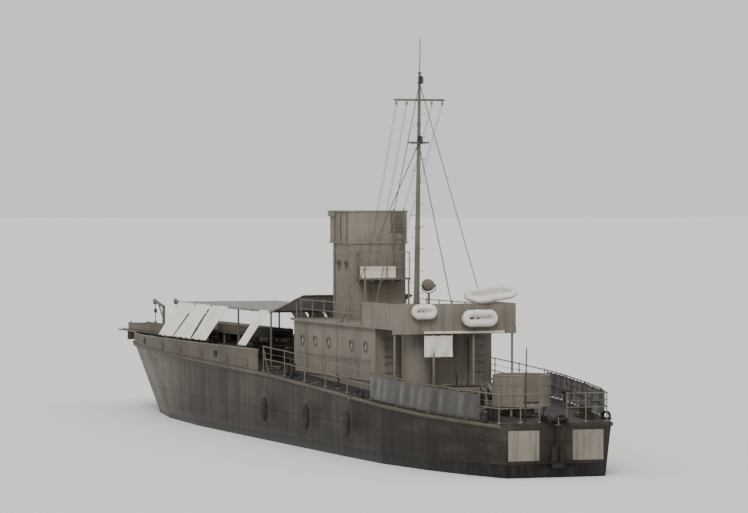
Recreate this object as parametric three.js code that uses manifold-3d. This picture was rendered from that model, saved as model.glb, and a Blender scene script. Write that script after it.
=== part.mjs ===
// A large infantry landing craft, as a 1:2 scale model afloat at its light draught.
// Millimetres, +X towards the bow, +Y to port, +Z up.
// The origin is amidships, on the centreline, at the waterline.
import * as THREE from "three";
import { mergeVertices } from "three/addons/utils/BufferGeometryUtils.js";
import Module from "manifold-3d";

const wasm = await Module();
wasm.setup();

// Driving dimensions. Sizes of the real craft are given in metres and multiplied by M, the model's scale.
const M = 500; // millimetres of model for one metre of the real craft, which is 1:2
const LENGTH = 48.3; // over the hull, in real metres
const GAP = 0.3; // between solids that touch
const MOVING_GAP = 6; // between solids that move past each other
const DECK_RISE = GAP; // fittings are cut by the hull, lifted by this

const HOUSE = { aft: 12, fore: 21.7, half: 2.3, foot: 2.1, roof: 4.7, wall: 0.07 };
const ROOF = { aft: 9.8, thick: 0.1, overhang: 0.12 };
const SHIELD = { fore: 13.2, height: 0.85, wall: 0.04 };
const TOWER = { aft: 18.1, fore: 20.5, half: 1.08, top: 7.75, wall: 0.06, conn: 1.25 };
const MAST = {
  foot: 13.9,
  rake: 0.35,
  top: 14.2,
  foot_r: 0.12,
  top_r: 0.05,
  yard: 13.2,
  yard_half: 1.0,
  yard_r: 0.04,
  spreader: 11.6,
  spreader_half: 0.42,
  spreader_r: 0.035,
};
const TUB = { radius: 1.0, wall: 0.04, height: 1.0, floor: 0.08, rim: 0.05, pedestal: 0.45 };
const STERN_TUB = { at: 3.2, floor: 2.35 };
const BOW_TUB = { at: 43.2, floor: 3.25 };
const SHAFT = { side: 1.45, height: -0.92, radius: 0.07, inner_end: 5.9 };
const STERN_TUBE = { aft: 5.4, fore: 8.6, radius: 0.15, bore: 0.09, bore_fore: 6 };
const PROPELLER = { at: 3.1, radius: 0.56, hub: 0.13, hub_half: 0.16, cone: 0.4, blades: 3 };
const RUDDER = {
  at: 1.6,
  ahead: 0.28,
  behind: 0.72,
  top: -0.36,
  foot: -1.42,
  head: 0.2,
  stock: 0.08,
  bore: 0.11,
  half_thick: 0.05,
};
const RAMP = { aft: 35.6, length: 11, side: 1.72, width: 0.95, bottom: 3.52, beam: 0.24, tread: 0.06 };
const TRACK = { aft: 35.4, fore: 47.6, height: 0.1, width: 0.1 };
const AWNING = {
  aft: 20.75,
  knee: 24.6,
  fore: 38,
  high: 5.7,
  low: 4.98,
  half: 2.35,
  thick: 0.024,
  foot_side: 3.36,
  foot: 3.56,
};
const BULWARK = { aft: 22.6, thick: 0.04, inset: 0.015, top_aft: 3.5, top_fore: 3.38, front: 0.08 };
const WINCH = { at: 5.4, drum_r: 0.22, drum_half: 0.42, height: 2.62 };
const RAIL = { height: 1.0, levels: [0.5, 0.98], post_r: 0.035, inset: 0.14, stern_way: 0.5 };
const STERN_BAR_HALF = 0.025;

// Turns a distance from the transom, in real metres, into the model's x.
const X = (d) => (d - LENGTH / 2) * M;

// Materials, with the colours of weathered grey paint, canvas, rope and bronze.
const paint = (color, roughness = 0.7, metalness = 0.2) =>
  new THREE.MeshStandardMaterial({ color, roughness, metalness });
const MATERIALS = {
  hull: paint(0x7d7b74),
  deck: paint(0x5f5e5a, 0.85),
  house: paint(0x9a9890),
  dark: paint(0x3b3a38),
  canvas: paint(0xe6e2d6, 0.95, 0),
  float: paint(0xdedacd, 0.9, 0),
  bronze: paint(0x9a7a45, 0.35, 0.9),
  steel: paint(0x565550, 0.5, 0.6),
  rope: paint(0x8a7c62, 1, 0),
};

// Geometry helpers.

// Makes a solid of a closed geometry.
function solidOf(geometry) {
  const bare = geometry.index ? geometry.toNonIndexed() : geometry.clone();
  for (const name of Object.keys(bare.attributes))
    if (name !== "position") bare.deleteAttribute(name);
  const merged = mergeVertices(bare, 1e-3);
  return new wasm.Manifold(
    new wasm.Mesh({
      numProp: 3,
      vertProperties: merged.attributes.position.array,
      triVerts: new Uint32Array(merged.index.array),
    }),
  );
}

// Joins a list of solids.
const join = (solids) => solids.reduce((all, one) => all.add(one));

// A box between two corners, in model millimetres.
function box(x0, x1, y0, y1, z0, z1) {
  const geometry = new THREE.BoxGeometry(x1 - x0, y1 - y0, z1 - z0);
  geometry.translate((x0 + x1) / 2, (y0 + y1) / 2, (z0 + z1) / 2);
  return solidOf(geometry);
}

// A box given in real metres: distance from the transom, side and height.
const block = (d0, d1, y0, y1, z0, z1) => box(X(d0), X(d1), y0 * M, y1 * M, z0 * M, z1 * M);

// A point in real metres as a vector of the model.
const point = (d, y, z) => new THREE.Vector3(X(d), y * M, z * M);

// A round bar between two points, with its radii in real metres.
function bar(from, to, radius, sides = 10, end_radius = radius) {
  const along = to.clone().sub(from);
  const geometry = new THREE.CylinderGeometry(end_radius * M, radius * M, along.length(), sides);
  geometry.applyQuaternion(
    new THREE.Quaternion().setFromUnitVectors(new THREE.Vector3(0, 1, 0), along.clone().normalize()),
  );
  geometry.translate(...from.clone().add(to).multiplyScalar(0.5).toArray());
  return solidOf(geometry);
}

// A bent tube through points, whose bars run on a little past each bend.
function pipe(points, radius, sides = 8) {
  const pieces = [];
  for (let i = 1; i < points.length; i++) {
    const [from, to] = [points[i - 1].clone(), points[i].clone()];
    const step = to.clone().sub(from).setLength(radius * M * 0.6);
    if (i > 1) from.sub(step);
    if (i < points.length - 1) to.add(step);
    pieces.push(bar(from, to, radius, sides));
  }
  return join(pieces);
}

// A prism of an outline in the XY plane, in model millimetres, from one height to another.
function prismUp(outline, z0, z1) {
  const shape = new THREE.Shape(outline.map(([x, y]) => new THREE.Vector2(x, y)));
  const geometry = new THREE.ExtrudeGeometry(shape, { depth: z1 - z0, bevelEnabled: false });
  geometry.translate(0, 0, z0);
  return solidOf(geometry);
}

// A prism of an outline of distance and height, in real metres, between two sides.
function prismAcross(outline, y0, y1) {
  const shape = new THREE.Shape(outline.map(([d, z]) => new THREE.Vector2(X(d), z * M)));
  const geometry = new THREE.ExtrudeGeometry(shape, { depth: (y1 - y0) * M, bevelEnabled: false });
  geometry.rotateX(Math.PI / 2).translate(0, y1 * M, 0);
  return solidOf(geometry);
}

// A solid turned about the vertical through a point, from a profile of radius and height.
function turned(profile, at, sides = 24) {
  const ring = profile.map(([r, z]) => new THREE.Vector2(r * M, z * M));
  if (profile[0][0] > 0) ring.push(ring[0].clone());
  const geometry = new THREE.LatheGeometry(ring, sides);
  geometry.rotateX(Math.PI / 2).translate(...at.toArray());
  const made = solidOf(geometry);
  return made.volume() < 0 ? solidOf(flipped(geometry)) : made;
}

// Turns a geometry's faces round.
function flipped(geometry) {
  const bare = geometry.index ? geometry.toNonIndexed() : geometry.clone();
  const p = bare.attributes.position;
  for (let i = 0; i < p.count; i += 3) {
    const [x, y, z] = [p.getX(i), p.getY(i), p.getZ(i)];
    p.setXYZ(i, p.getX(i + 1), p.getY(i + 1), p.getZ(i + 1));
    p.setXYZ(i + 1, x, y, z);
  }
  return bare;
}

// Skins a row of closed sections, each with the same number of [x, y, z] points, and caps both ends.
function loft(sections) {
  const count = sections[0].length;
  const at = [];
  const quad = (a, b, c, d) => at.push(...a, ...b, ...c, ...a, ...c, ...d);
  for (let i = 1; i < sections.length; i++)
    for (let j = 0; j < count; j++) {
      const k = (j + 1) % count;
      quad(sections[i - 1][j], sections[i - 1][k], sections[i][k], sections[i][j]);
    }
  const cap = (section, reverse) => {
    const flat = section.map(([, y, z]) => new THREE.Vector2(y, z));
    const turns = Math.sign(THREE.ShapeUtils.area(flat));
    for (const [a, b, c] of THREE.ShapeUtils.triangulateShape(flat, [])) {
      const same = Math.sign(THREE.ShapeUtils.area([flat[a], flat[b], flat[c]])) === turns;
      const [second, third] = same === reverse ? [c, b] : [b, c];
      at.push(...section[a], ...section[second], ...section[third]);
    }
  };
  cap(sections[0], true);
  cap(sections[sections.length - 1], false);
  const geometry = new THREE.BufferGeometry();
  geometry.setAttribute("position", new THREE.Float32BufferAttribute(at, 3));
  const made = solidOf(geometry);
  return made.volume() < 0 ? solidOf(flipped(geometry)) : made;
}

// The hull's sections, in real metres. Columns: distance from the transom, half width at the deck,
// half width at the turn of the bilge, keel height, bilge height, size of the bilge round, deck height.
const STATIONS = [
  [0.0, 2.05, 1.82, -0.1, -0.05, 0.15, 1.85],
  [2.0, 2.62, 2.45, -0.22, -0.17, 0.2, 1.92],
  [4.5, 3.1, 3.0, -0.42, -0.36, 0.3, 2.0],
  [8.0, 3.5, 3.45, -1.0, -0.92, 0.45, 2.16],
  [12.0, 3.55, 3.52, -1.4, -1.32, 0.5, 2.33],
  [16.0, 3.55, 3.53, -1.42, -1.34, 0.5, 2.48],
  [21.0, 3.55, 3.53, -1.38, -1.3, 0.5, 2.65],
  [30.0, 3.55, 3.48, -1.28, -1.18, 0.5, 2.8],
  [36.0, 3.45, 3.05, -1.18, -1.0, 0.5, 2.88],
  [40.0, 3.2, 2.3, -1.08, -0.8, 0.45, 2.93],
  [43.5, 2.75, 1.4, -0.92, -0.5, 0.35, 2.97],
  [46.0, 2.1, 0.62, -0.5, -0.05, 0.2, 3.0],
  [47.5, 1.3, 0.22, 0.45, 0.75, 0.1, 3.02],
  [48.3, 0.5, 0.1, 1.7, 1.85, 0.06, 3.04],
];
const BILGE_STEPS = 4;

// A value of the stations' table at a distance from the transom.
function hullAt(d, column) {
  const last = STATIONS.length - 1;
  const i = Math.min(last, Math.max(1, STATIONS.findIndex((row) => row[0] >= d)));
  const [a, b] = [STATIONS[i - 1], STATIONS[i]];
  return a[column] + ((b[column] - a[column]) * (d - a[0])) / (b[0] - a[0]);
}
const deckHalf = (d) => hullAt(d, 1);
const bilgeHalf = (d) => hullAt(d, 2);
const bilgeZ = (d) => hullAt(d, 4);
const deckZ = (d) => hullAt(d, 6);
// The side's half width at a height.
const sideAt = (d, z) =>
  bilgeHalf(d) + ((deckHalf(d) - bilgeHalf(d)) * (z - bilgeZ(d))) / (deckZ(d) - bilgeZ(d));

function hullSection([d, deck, bilge, keel, bilge_z, round, deck_z]) {
  const corner = new THREE.Vector2(bilge, bilge_z);
  const floor = new THREE.Vector2(0, keel);
  const edge = new THREE.Vector2(deck, deck_z);
  const towards = (end) => corner.clone().add(end.clone().sub(corner).setLength(round));
  const turn = new THREE.QuadraticBezierCurve(towards(floor), corner, towards(edge)).getPoints(BILGE_STEPS);
  const half = [...turn, edge].map((p) => [p.x, p.y]);
  const ring = [[0, keel], ...half, ...half.reverse().map(([y, z]) => [-y, z])];
  return ring.map(([y, z]) => [X(d), y * M, z * M]);
}

const bare_hull = loft(STATIONS.map(hullSection));
const lifted_hull = bare_hull.translate([0, 0, DECK_RISE]);
// Stands a fitting on the deck, whatever the deck's slope below it.
const onDeck = (solid) => solid.subtract(lifted_hull);

const parts = [];
const welded = []; // fittings that are one piece with the hull: bitts, coamings, ventilators, flagstaff
const SIDES = [
  ["port", 1],
  ["starboard", -1],
];
const add = (name, solid, material) => parts.push([name, solid, MATERIALS[material]]);

// Hull, with its stern tubes and the holes that the rudder stocks turn in.
{
  let hull = bare_hull;
  for (const [, side] of SIDES) {
    const y = side * SHAFT.side;
    const on_shaft = (d) => point(d, y, SHAFT.height);
    const tube = bar(on_shaft(STERN_TUBE.aft), on_shaft(STERN_TUBE.fore), STERN_TUBE.radius, 16);
    const bore = bar(on_shaft(STERN_TUBE.aft - 0.1), on_shaft(STERN_TUBE.bore_fore), STERN_TUBE.bore, 20);
    const stock_hole = bar(point(RUDDER.at, y, -0.6), point(RUDDER.at, y, 0.3), RUDDER.bore, 20);
    hull = hull.add(tube).subtract(bore).subtract(stock_hole);
  }
  welded.push(hull);
}

// Rub rails along the deck's edge, from the transom to the bow.
const RUB = { out: 0.09, low: 0.16, clear: 0.004 };
for (const [name, side] of SIDES) {
  const section = ([d]) => {
    const [top, foot] = [deckZ(d) - 0.02, deckZ(d) - RUB.low];
    const [y_top, y_foot] = [sideAt(d, top) + RUB.clear, sideAt(d, foot) + RUB.clear];
    const mid = (top + foot) / 2;
    return [
      [y_top, top],
      [y_top + RUB.out * 0.8, top - 0.02],
      [sideAt(d, mid) + RUB.out, mid],
      [y_foot + RUB.out * 0.5, foot + 0.02],
      [y_foot, foot],
    ].map(([y, z]) => [X(d), side * y * M, z * M]);
  };
  const widened_hull = bare_hull.translate([0, side * GAP, 0]);
  add(`rub_rail_${name}`, loft(STATIONS.map(section)).subtract(widened_hull), "hull");
}

// Forward bulwark: one wall round the bow, from side to side, with its stays inside.
const BULWARK_STAY = { aft: 23.3, step: 1.45, count: 14, foot: 0.24, head: 0.04, thick: 0.02, low: 0.04 };
const bulwarkTop = (d) =>
  BULWARK.top_aft + ((BULWARK.top_fore - BULWARK.top_aft) * (d - BULWARK.aft)) / (LENGTH - BULWARK.aft);
{
  const rows = [BULWARK.aft, ...STATIONS.map(([d]) => d).filter((d) => d > BULWARK.aft)];
  const out = (d) => deckHalf(d) - BULWARK.inset;
  const inner = (d) => out(d) - BULWARK.thick;
  const foot = (d) => deckZ(d) - 0.02;
  const place = (d, side, ring) => ring.map(([y, z]) => [X(d), side * y * M, z * M]);
  const wall = (side) => {
    const section = (d) =>
      place(d, side, [
        [out(d), foot(d)],
        [out(d), bulwarkTop(d)],
        [inner(d), bulwarkTop(d)],
        [inner(d), foot(d)],
      ]);
    return loft(rows.map(section));
  };
  const stay = (d, side) => {
    const { foot: reach, head, thick, low } = BULWARK_STAY;
    const section = (at) =>
      place(at, side, [
        [inner(at) + 0.01, foot(d)],
        [inner(at) + 0.01, bulwarkTop(d) - low],
        [inner(at) - head, bulwarkTop(d) - low],
        [inner(at) - reach, foot(d)],
      ]);
    return loft([section(d), section(d + thick)]);
  };
  const stays = [];
  for (let i = 0; i < BULWARK_STAY.count; i++) {
    const d = BULWARK_STAY.aft + i * BULWARK_STAY.step;
    stays.push(stay(d, 1), stay(d, -1));
  }
  const front_aft = LENGTH - BULWARK.front;
  const front = block(front_aft, LENGTH - 0.001, -out(LENGTH), out(LENGTH), foot(LENGTH), bulwarkTop(LENGTH));
  add("bow_bulwark", onDeck(join([wall(1), wall(-1), front, ...stays])), "hull");
}

// Stern gear below the water: shafts with propellers, their brackets, guards and rudders.
const BLADE = { thick: 0.03, turn: 1.25, untwist: 0.55, half_chord: 0.2, root: 0.08 };

// Half a blade's outline, from its root to its tip. Columns: half chord, radius.
const bladeEdge = (r) => [
  [0.05, BLADE.root],
  [0.17, r * 0.54],
  [BLADE.half_chord, r * 0.72],
  [0.12, r * 0.94],
];

// One blade along +Z from the shaft's axis, twisted so that it drives along X.
function blade() {
  const edge = bladeEdge(PROPELLER.radius);
  const outline = [...edge.map(([c, r]) => [-c, r]), [0, PROPELLER.radius], ...edge.reverse()];
  const shape = new THREE.Shape(outline.map(([c, r]) => new THREE.Vector2(c * M, r * M)));
  const geometry = new THREE.ExtrudeGeometry(shape, { depth: BLADE.thick * M, bevelEnabled: false });
  geometry.translate(0, 0, (-BLADE.thick / 2) * M);
  const p = geometry.attributes.position;
  for (let i = 0; i < p.count; i++) {
    const [chord, r, thick] = [p.getX(i), p.getY(i), p.getZ(i)];
    const turn = BLADE.turn * (1 - (BLADE.untwist * r) / (PROPELLER.radius * M));
    const x = chord * Math.sin(turn) + thick * Math.cos(turn);
    const y = chord * Math.cos(turn) - thick * Math.sin(turn);
    p.setXYZ(i, x, y, r);
  }
  const made = solidOf(geometry);
  return made.volume() < 0 ? solidOf(flipped(geometry)) : made;
}

// The brackets that carry the shafts ahead of the propellers.
const BRACKET = { at: 3.75, half: 0.16, barrel: 0.13, bore: SHAFT.radius + 0.006, spread: 0.5, arm_r: 0.045 };
// The pipe guards round the propellers. Path columns: distance from the transom, distance off the centreline.
const GUARD = { z: -0.16, radius: 0.06, arm_r: 0.05, arm_foot: 1.7 };
const GUARD_PATH = [
  [6.2, 3.3],
  [4.6, 3.4],
  [2.6, 3.35],
  [1.2, 3.0],
  [0.35, 2.1],
  [0.25, 1.6],
];
const GUARD_ARMS = [
  [4.4, 3.38],
  [2.6, 3.33],
  [1.3, 3.0],
];

for (const [name, side] of SIDES) {
  const y = side * SHAFT.side;
  const on_shaft = (d) => point(d, y, SHAFT.height);
  const { at, hub, hub_half, cone } = PROPELLER;
  const boss = bar(on_shaft(at - hub_half), on_shaft(at + hub_half), hub, 16);
  const nose = bar(on_shaft(at - cone), on_shaft(at - hub_half + 0.01), 0.02, 16, hub);
  const blades = [];
  for (let i = 0; i < PROPELLER.blades; i++) {
    const turn = (360 / PROPELLER.blades) * i * side;
    blades.push(blade().rotate([turn, 0, 0]).translate(on_shaft(at).toArray()));
  }
  const shaft = bar(on_shaft(at), on_shaft(SHAFT.inner_end), SHAFT.radius, 16);
  add(`propeller_${name}`, join([boss, nose, ...blades, shaft]), "bronze");

  // A V bracket, whose barrel the shaft turns in.
  const [barrel_aft, barrel_fore] = [BRACKET.at - BRACKET.half, BRACKET.at + BRACKET.half];
  const barrel = bar(on_shaft(barrel_aft), on_shaft(barrel_fore), BRACKET.barrel, 16);
  const feet = [-1, 1].map((lean) => point(BRACKET.at, y + lean * BRACKET.spread, 0));
  const arms = feet.map((foot) => bar(on_shaft(BRACKET.at), foot, BRACKET.arm_r, 8));
  const bore = bar(on_shaft(BRACKET.at - 1), on_shaft(BRACKET.at + 1), BRACKET.bore, 24);
  const lowered_hull = bare_hull.translate([0, 0, -GAP]);
  add(`shaft_bracket_${name}`, join([barrel, ...arms]).subtract(bore).subtract(lowered_hull), "hull");

  // A guard: a bent pipe that stands out round the propeller, on three arms.
  const path = GUARD_PATH.map(([d, out]) => point(d, side * out, GUARD.z));
  const arms_out = GUARD_ARMS.map(([d, out]) =>
    bar(point(d, side * GUARD.arm_foot, GUARD.z), point(d, side * out, GUARD.z), GUARD.arm_r, 8),
  );
  const guard = join([pipe(path, GUARD.radius, 6), ...arms_out]);
  const widened_hull = bare_hull.translate([0, side * GAP * 2, 0]);
  add(`propeller_guard_${name}`, guard.subtract(lowered_hull).subtract(widened_hull), "dark");

  // A balanced rudder on its stock. Columns of its section: distance from the transom, half thickness.
  const half = [
    [RUDDER.at + RUDDER.ahead, 0.01],
    [RUDDER.at + RUDDER.ahead * 0.7, RUDDER.half_thick],
    [RUDDER.at - RUDDER.behind * 0.3, RUDDER.half_thick],
    [RUDDER.at - RUDDER.behind, 0.012],
  ];
  const ring = [...half, ...half.map(([d, w]) => [d, -w]).reverse()];
  const plan = ring.map(([d, w]) => [X(d), (y + w) * M]);
  const on_stock = (z) => point(RUDDER.at, y, z);
  const stock = bar(on_stock(RUDDER.top - 0.1), on_stock(RUDDER.head), RUDDER.stock, 16);
  add(`rudder_${name}`, prismUp(plan, RUDDER.foot * M, RUDDER.top * M).add(stock), "hull");
}

// Bow: ramp platforms with their tracks, the two gangway ramps on them, and catheads.
const PLATFORM = { aft: 44.4, fore: 47.9, inner: 0.62, outer: 2.32, thick: 0.065, drop: 0.03 };
const CROSS = { step: 2, wide: 0.12, deep: 0.07, drop: 0.02 };
const POST = { first: 0.3, last: 45, step: 2.4, radius: 0.045, inset: 0.05 };
const KNEE = { places: [44.5, 45.7, 47], thick: 0.1, inner: 0.7, outer: 2.1 };
const RUNG = { first: 0.4, step: 0.55, wide: 0.06, high: 0.035 };
const TIE = { first: 0.1, step: 1.35, wide: 0.08, low: 0.02, high: 0.1 };
const BEAM = { wide: 0.06, over: 0.04 };
const CATHEAD = { at: 46.6, side: 0.5, foot: 2.9, head: 4.5, tip: 48.1, tip_z: 4.75, radius: 0.07 };
const BRACE = { low: 3.9, at: 47.5, high: 4.62, radius: 0.035 };
const SHEAVE = { z: 4.7, radius: 0.13, half: 0.06 };

for (const [name, side] of SIDES) {
  const across = (a, b) => (side > 0 ? [a, b] : [-b, -a]);
  const slab = (d0, d1, a, b, z0, z1) => block(d0, d1, ...across(a, b), z0, z1);
  const top = RAMP.bottom - MOVING_GAP / M - 0.002;
  const inner = RAMP.side - RAMP.width / 2;
  const outer = RAMP.side + RAMP.width / 2;
  const rails = [inner, outer - TRACK.width].map((y) =>
    slab(TRACK.aft, TRACK.fore, y, y + TRACK.width, top - TRACK.height, top),
  );
  const cross = [];
  for (let d = TRACK.aft; d <= TRACK.fore; d += CROSS.step)
    cross.push(slab(d, d + CROSS.wide, inner, outer, top - CROSS.drop - CROSS.deep, top - CROSS.drop));
  const posts = [];
  for (let d = TRACK.aft + POST.first; d < POST.last; d += POST.step)
    for (const y of [inner + POST.inset, outer - POST.inset])
      posts.push(bar(point(d, side * y, 2.8), point(d, side * y, top - 0.05), POST.radius, 8));
  const plate_top = top - PLATFORM.drop;
  const { aft, fore, thick } = PLATFORM;
  const platform = slab(aft, fore, PLATFORM.inner, PLATFORM.outer, plate_top - thick, plate_top);
  const knees = KNEE.places.map((d) =>
    slab(d, d + KNEE.thick, KNEE.inner, KNEE.outer, deckZ(d) - 0.01, top - 0.05),
  );
  const near_hull = bare_hull.translate([0, 0, GAP]).add(bare_hull.translate([0, side * GAP * 2, 0]));
  const bulwark = parts.find(([node]) => node === "bow_bulwark")[1];
  const shifts = [
    [0, 0, GAP],
    [0, GAP * 2, 0],
    [0, -GAP * 2, 0],
    [-GAP * 2, 0, 0],
    [GAP * 2, 0, 0],
  ];
  const near_wall = join([bulwark, ...shifts.map((by) => bulwark.translate(by))]);
  const stage = join([...rails, ...cross, ...posts, platform, ...knees]);
  add(`ramp_platform_${name}`, stage.subtract(near_hull).subtract(near_wall), "hull");

  // The ramp: two side beams, a tread with cleats across it, and ties below it.
  const tread_z = RAMP.bottom + RAMP.beam;
  const ramp_fore = RAMP.aft + RAMP.length;
  const beams = [inner, outer - BEAM.wide].map((y) =>
    slab(RAMP.aft, ramp_fore, y, y + BEAM.wide, RAMP.bottom, tread_z + BEAM.over),
  );
  const tread = slab(RAMP.aft, ramp_fore, inner, outer, tread_z - RAMP.tread, tread_z);
  const cleats = [];
  for (let d = RAMP.aft + RUNG.first; d < ramp_fore; d += RUNG.step)
    cleats.push(slab(d, d + RUNG.wide, inner, outer, tread_z - 0.01, tread_z + RUNG.high));
  const ties = [];
  for (let d = RAMP.aft + TIE.first; d < ramp_fore; d += TIE.step)
    ties.push(slab(d, d + TIE.wide, inner, outer, RAMP.bottom + TIE.low, RAMP.bottom + TIE.high));
  add(`ramp_${name}`, join([...beams, tread, ...cleats, ...ties]), "hull");

  // A cathead: a post with an arm, a brace and a sheave, beside the ramp.
  const y = side * CATHEAD.side;
  const foot = point(CATHEAD.at, y, CATHEAD.foot);
  const head = point(CATHEAD.at, y, CATHEAD.head);
  const tip = point(CATHEAD.tip, y, CATHEAD.tip_z);
  const brace = bar(point(CATHEAD.at, y, BRACE.low), point(BRACE.at, y, BRACE.high), BRACE.radius, 8);
  const sheave_end = (half) => point(CATHEAD.tip, y + half, SHEAVE.z);
  const sheave = bar(sheave_end(-SHEAVE.half), sheave_end(SHEAVE.half), SHEAVE.radius, 14);
  add(`cathead_${name}`, onDeck(join([pipe([foot, head, tip], CATHEAD.radius, 10), brace, sheave])), "hull");
}

// Deckhouse: hollow walls with doorways aft, a roof that reaches aft on posts, and a splinter shield.
const DOOR = { width: 0.66, height: 1.7, sill: 0.2, side: 1.75, thick: 0.05, off: 0.012, lap: 0.04 };
const BULKHEAD = { at: 16.4, thick: 0.06, way: 0.4, way_top: 4.4 };
const ROOF_POST = { inset: 0.11, radius: 0.045, places: [0.78, 2.3] };
const LIP = { thick: 0.05, low: 0.16, high: 0.05 };
const house_floor = deckZ(HOUSE.aft);
const door_low = house_floor + DOOR.sill;
const roof_edge = HOUSE.half + ROOF.overhang;
const roof_top = HOUSE.roof + ROOF.thick + GAP / M;
{
  const { aft, fore, half, wall, foot } = HOUSE;
  const top = HOUSE.roof - GAP / M;
  const shell = block(aft, fore, -half, half, foot, top).subtract(
    block(aft + wall, fore - wall, wall - half, half - wall, foot - 0.1, top + 0.1),
  );
  const { at: at_wall, thick, way, way_top } = BULKHEAD;
  const bulkhead = block(at_wall, at_wall + thick, 0.03 - half, half - 0.03, foot, top).subtract(
    block(at_wall - 1, at_wall + 1, -way, way, foot - 0.1, way_top),
  );
  const doorways = SIDES.map(([, side]) => {
    const [y0, y1] = [side * DOOR.side - DOOR.width / 2, side * DOOR.side + DOOR.width / 2];
    return block(aft - 0.1, aft + wall + 0.1, y0, y1, door_low, door_low + DOOR.height);
  });
  add("deckhouse_walls", onDeck(shell.add(bulkhead).subtract(join(doorways))), "house");

  const edge = roof_edge;
  const roof = block(ROOF.aft, fore + 0.1, -edge, edge, HOUSE.roof, HOUSE.roof + ROOF.thick);
  const lip = block(ROOF.aft, ROOF.aft + LIP.thick, -edge, edge, HOUSE.roof - LIP.low, HOUSE.roof + LIP.high);
  const at_post = (y, z) => point(ROOF.aft + ROOF_POST.inset, y, z);
  const posts = ROOF_POST.places.flatMap((y) =>
    [-y, y].map((place) => bar(at_post(place, 2), at_post(place, HOUSE.roof + 0.04), ROOF_POST.radius, 8)),
  );
  add("deckhouse_roof", onDeck(join([roof, lip, ...posts])), "deck");

  const shield_aft = ROOF.aft + 0.01;
  const out = edge - 0.01;
  const inside = out - SHIELD.wall;
  const walls = block(shield_aft, SHIELD.fore, -out, out, roof_top, roof_top + SHIELD.height);
  const space = block(shield_aft + SHIELD.wall, SHIELD.fore + 1, -inside, inside, roof_top - 1, roof_top + 2);
  add("roof_shield", walls.subtract(space), "house");
}

// Low guard rails along the deckhouse roof, from the splinter shield forward.
const ROOF_RAIL = { aft: 13.5, step: 1.43, count: 6, inset: 0.06, height: 0.75, radius: 0.022 };
const ROOF_RAIL_LEVELS = [0.38, 0.74];
for (const [name, side] of SIDES) {
  const y = side * (roof_edge - ROOF_RAIL.inset);
  const at = (i, height) => point(ROOF_RAIL.aft + i * ROOF_RAIL.step, y, roof_top + height);
  const pieces = [];
  for (let i = 0; i < ROOF_RAIL.count; i++)
    pieces.push(bar(at(i, 0), at(i, ROOF_RAIL.height), ROOF_RAIL.radius, 8));
  for (const level of ROOF_RAIL_LEVELS)
    pieces.push(bar(at(0, level), at(ROOF_RAIL.count - 1, level), ROOF_RAIL.radius * 0.8, 8));
  add(`roof_rail_${name}`, join(pieces), "house");
}

// Doors of the deckhouse, hung on their outboard edges, just off their frames' face.
const HINGE = { back: 0.03, out: 0.02, radius: 0.022, long: 0.12, heights: [0.3, 1.4] };
const HANDLE = { inset: 0.22, height: 0.85, reach: 0.07, radius: 0.02 };
for (const [name, side] of SIDES) {
  const y = side * DOOR.side;
  const reach = DOOR.width / 2 + DOOR.lap;
  const y_hinge = side * (DOOR.side + DOOR.width / 2 + HINGE.out);
  const face = HOUSE.aft - DOOR.off;
  const high = door_low + DOOR.height + DOOR.lap;
  const leaf = block(face - DOOR.thick, face, y - reach, y + reach, door_low - DOOR.lap, high);
  const at_hinge = (z) => point(HOUSE.aft - HINGE.back, y_hinge, door_low + z);
  const barrels = HINGE.heights.map((z) => bar(at_hinge(z), at_hinge(z + HINGE.long), HINGE.radius, 10));
  const at_handle = (d) => point(d, y - side * HANDLE.inset, door_low + HANDLE.height);
  const handle_end = HOUSE.aft - DOOR.thick - HANDLE.reach;
  const handle = bar(at_handle(handle_end), at_handle(HOUSE.aft - 0.03), HANDLE.radius, 8);
  add(`deckhouse_door_${name}`, join([leaf, ...barrels, handle]), "house");
}

// Tower: a hollow square trunk, a bridge floor with a bulwark round it, a door, and a platform behind it.
const TOWER_DOOR = { width: 0.62, low: 0.22, height: 1.15, lap: 0.04, grip: 0.2, grip_z: 0.6 };
const TOWER_HINGE = { radius: 0.02, long: 0.1, heights: [0.2, 0.85] };
const TOWER_PORTS = { z: 6.9, side_r: 0.14, fore_r: 0.16, side: [18.85, 19.75], fore: [-0.62, 0, 0.62] };
const BRIDGE = { over: 0.08, floor: 0.06, ahead: 0.25, wall: 0.04, way: [-0.95, -0.45], way_low: 0.4 };
const CAP = { deep: 0.2, thick: 0.06, aft: 0.5, fore: 0.28 };
const COMPASS = { at: 19.9, height: 1.15 };
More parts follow.
